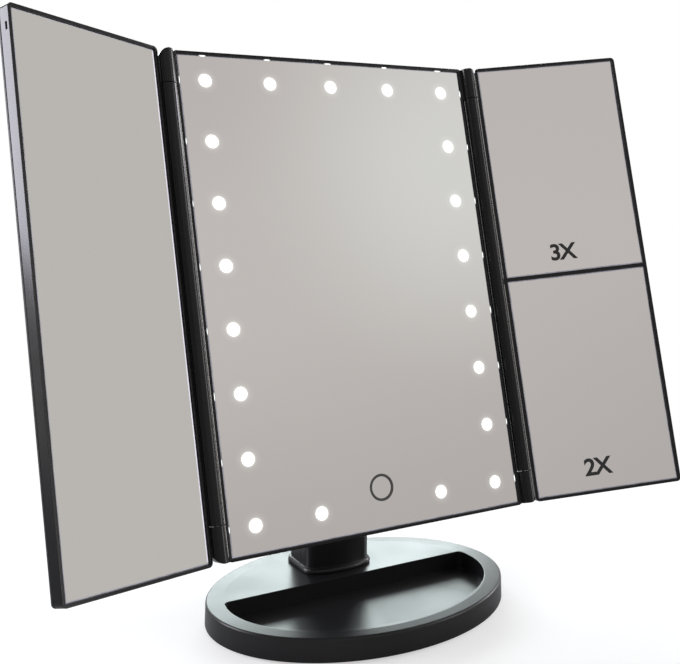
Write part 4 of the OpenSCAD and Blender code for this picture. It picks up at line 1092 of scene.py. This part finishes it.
class VANITY_OT_electrics(PieceOperator, bpy.types.Operator):
    """Finishes the boards, chips, cells, contacts, socket and switch"""
    bl_idname = "vanity.finish_electrics"
    bl_label = "Electrics"

    def make(self):
        paint(circuit_board("circuit_board"), "light_board", "touch_board", "control_board")
        paint(light_chip("light_chip"), "light_chips")
        paint(cell_jacket("cell_sleeve", self.sizes), "battery_cells")
        paint(metal("nickel_plate"), "battery_contacts", "battery_springs", "usb_socket")
        paint(plastic("polished_black"), "board_parts")
        paint(plastic("white_nylon"), "wire_sockets")
        paint(plastic("satin_black"), "switch_body")
        paint(plastic("switch_white"), "switch_slider")


def softbox(name, place, aim, width, height, brightness, colour=(1, 1, 1)):
    """A soft lamp of even brightness that the camera doesn't see."""
    lamp = bpy.data.lights.new(name, "AREA")
    lamp.shape = "RECTANGLE"
    lamp.size, lamp.size_y = width, height
    lamp.color = colour
    lamp.energy = brightness * pi * width * height
    holder = link(name, lamp)
    holder.location = place
    holder.rotation_euler = (Vector(aim) - Vector(place)).to_track_quat("-Z", "Y").to_euler()
    holder.visible_camera = False


class VANITY_OT_stage(bpy.types.Operator):
    """Sets up the camera, the floor, the surroundings and the softboxes"""
    bl_idname = "vanity.set_stage"
    bl_label = "Studio"

    def execute(self, context):
        studio = context.scene.vanity_studio
        context.scene.view_settings.view_transform = "Standard"
        self.camera(context.scene)
        self.floor()
        self.surroundings(context.scene, studio)
        softbox("back_softbox", (0.52, 1.70, 0.71), (0, 0, 0.02), 1.5, 0.70, studio.back_light,
                (0.87, 1, 1))
        softbox("left_softbox", (-1.27, 0.565, 0.585), (-0.16, -0.03, 0.24), 0.6, 0.66, studio.left_light,
                (0.90, 0.89, 1))
        softbox("right_softbox", (1.15, 0.025, 0.44), (0, 0, 0.3), 0.35, 0.62, studio.side_light,
                (0.94, 0.93, 1))
        softbox("right_strip", (1.0, -0.78, 0.45), (0, 0, 0.15), 0.22, 1.0, studio.right_light)
        return {"FINISHED"}

    def camera(self, scene):
        """Stands where the photograph was taken. Its lens and middle are in the photograph's pixels."""
        lens, image_w, image_h = 1033.547, 680, 664
        middle = (400.962, 293.252)
        yaw, pitch, roll = 0.54404, 0.12422, 0.01128
        look = Vector((sin(yaw) * cos(pitch), cos(yaw) * cos(pitch), -sin(pitch)))
        right = Vector((cos(yaw), -sin(yaw), 0))
        up = right.cross(look)
        turned_right = cos(roll) * right + sin(roll) * up
        turned_up = -sin(roll) * right + cos(roll) * up
        data = bpy.data.cameras.new("photo_camera")
        data.sensor_width = 36
        data.lens = 36 * lens / image_w
        data.shift_x = -(middle[0] - image_w / 2) / image_w
        data.shift_y = (middle[1] - image_h / 2) / image_w
        holder = link("photo_camera", data)
        turn = Matrix((turned_right, turned_up, -look)).transposed()
        holder.matrix_world = Matrix.Translation((-0.2458786, -0.4455107, 0.2253507)) @ turn.to_4x4()
        scene.camera = holder

    def floor(self):
        """Pale floor that shows the camera the object's shadow near it, and pure white far away; towards
        the left its colour is darker, as painted shade.
        """
        mesh = bmesh.new()
        bmesh.ops.create_circle(mesh, cap_ends=True, segments=96, radius=1.0)
        data = bpy.data.meshes.new("studio_floor")
        mesh.to_mesh(data)
        mesh.free()
        floor = link("studio_floor", data)
        floor.location.z = -0.0002      # just under the feet
        material = bpy.data.materials.new("pale_floor")
        data.materials.append(material)
        n = emptied(material)
        where = n.where()
        far = n.spread(n.length(where), 0.12, 0.42, smooth=True)
        tone = n.blend(n.grain(300.0, 2.0)["Cloud"], (0.50, 0.50, 0.50), (0.53, 0.53, 0.53))
        # painted shade: the floor's colour is made darker towards the left
        painted_shade_to_left = n.spread(n.axes(where)["X"], -0.2, -0.45, smooth=True)
        colour = n.blend(painted_shade_to_left, tone, (0.28, 0.28, 0.28))
        seen = n.put("LightPath")["Is Camera Ray"]
        lift = n.put("Emission", {"Color": (1, 1, 1, 1), "Strength": n.times(seen, 0.52)})[0]
        near = n.put("AddShader", {0: n.put("BsdfDiffuse", {"Color": colour})[0], 1: lift})[0]
        white = n.put("Emission", {"Color": (1, 1, 1, 1), "Strength": 1.0})[0]
        surface = n.put("MixShader", {0: n.times(far, seen), 1: near, 2: white})[0]
        n.put("OutputMaterial", {"Surface": surface})

    def surroundings(self, scene, studio):
        """White behind the mirror and to the camera, a warm grey card in front of it."""
        scene.world = bpy.data.worlds.new("studio")
        n = emptied(scene.world)
        way = n.put("TexCoord")["Generated"]
        x, y, z = n.axes(way)
        raised = n.spread(z, 0.12, 0.38, smooth=True)
        card = n.blend(raised, tuple(studio.front_low), tuple(studio.front_high))
        toward = n.put("VectorMath", {
            0: way, 1: Vector((0.566, -0.699, 0.438)).normalized()}, operation="DOT_PRODUCT")["Value"]
        card = n.blend(n.math("POWER", n.spread(toward, 0.974, 0.9994), 2.0), card, tuple(studio.glow))
        card = n.blend(n.spread(x, 0.62, 0.84, smooth=True), card, tuple(studio.right))
        card = n.blend(n.spread(x, -0.25, -0.6, smooth=True), card, tuple(studio.left))
        low = n.times(n.spread(z, 0.37, 0.20, 0.2, 0.75), n.spread(x, -0.12, -0.03, 0.4, 1.0))
        low = n.times(low, n.spread(x, 0.12, 0.30, 1.0, 0.0))
        card = n.blend(low, card, (0.470, 0.448, 0.442))
        high = n.times(n.spread(z, 0.45, 0.54), n.spread(x, 0.35, 0.45, 1.0, 0.0))
        card = n.blend(high, card, (0.558, 0.531, 0.523))
        around = n.blend(n.spread(y, -0.14, 0.12, smooth=True), card, (1.0, 1.0, 1.0))
        around = n.blend(n.spread(z, 0.72, 0.90, smooth=True), around, (0.16, 0.16, 0.165))
        colour = n.blend(n.put("LightPath")["Is Camera Ray"], around, (1.0, 1.0, 1.0))
        n.put("OutputWorld", {"Surface": n.put("Background", {"Color": colour, "Strength": 1.0})[0]})


PIECES = (
    VANITY_OT_base, VANITY_OT_neck, VANITY_OT_centre_frame, VANITY_OT_panes, VANITY_OT_windows,
    VANITY_OT_leaks, VANITY_OT_wings, VANITY_OT_marks, VANITY_OT_housing, VANITY_OT_electrics,
)


class VANITY_PT_panel(bpy.types.Panel):
    """Lists the mirror's settings and pieces"""
    bl_label = "Vanity mirror"
    bl_idname = "VANITY_PT_panel"
    bl_space_type = "VIEW_3D"
    bl_region_type = "UI"
    bl_category = "Vanity mirror"

    def draw(self, context):
        scene = context.scene
        for group in (scene.vanity_sizes, scene.vanity_colours, scene.vanity_studio):
            box = self.layout.box()
            for key in group.bl_rna.properties.keys():
                if key not in ("rna_type", "name"):
                    box.prop(group, key)
        for operator in (VANITY_OT_stage, *PIECES):
            self.layout.operator(operator.bl_idname)


CLASSES = (VanitySizes, VanityColours, VanityStudio, VANITY_OT_stage, *PIECES, VANITY_PT_panel)


def register():
    for kind in CLASSES:
        bpy.utils.register_class(kind)
    bpy.types.Scene.vanity_sizes = PointerProperty(type=VanitySizes)
    bpy.types.Scene.vanity_colours = PointerProperty(type=VanityColours)
    bpy.types.Scene.vanity_studio = PointerProperty(type=VanityStudio)


def unregister():
    del bpy.types.Scene.vanity_studio
    del bpy.types.Scene.vanity_colours
    del bpy.types.Scene.vanity_sizes
    for kind in reversed(CLASSES):
        bpy.utils.unregister_class(kind)


def main():
    register()
    bpy.ops.vanity.set_stage()
    bpy.ops.vanity.mould_base()
    bpy.ops.vanity.mould_neck()
    bpy.ops.vanity.mould_centre_frame()
    bpy.ops.vanity.silver_panes()
    bpy.ops.vanity.frost_windows()
    bpy.ops.vanity.leak_light()
    bpy.ops.vanity.mould_wings()
    bpy.ops.vanity.print_marks()
    bpy.ops.vanity.mould_housing()
    bpy.ops.vanity.finish_electrics()


if __name__ == "__main__":
    main()
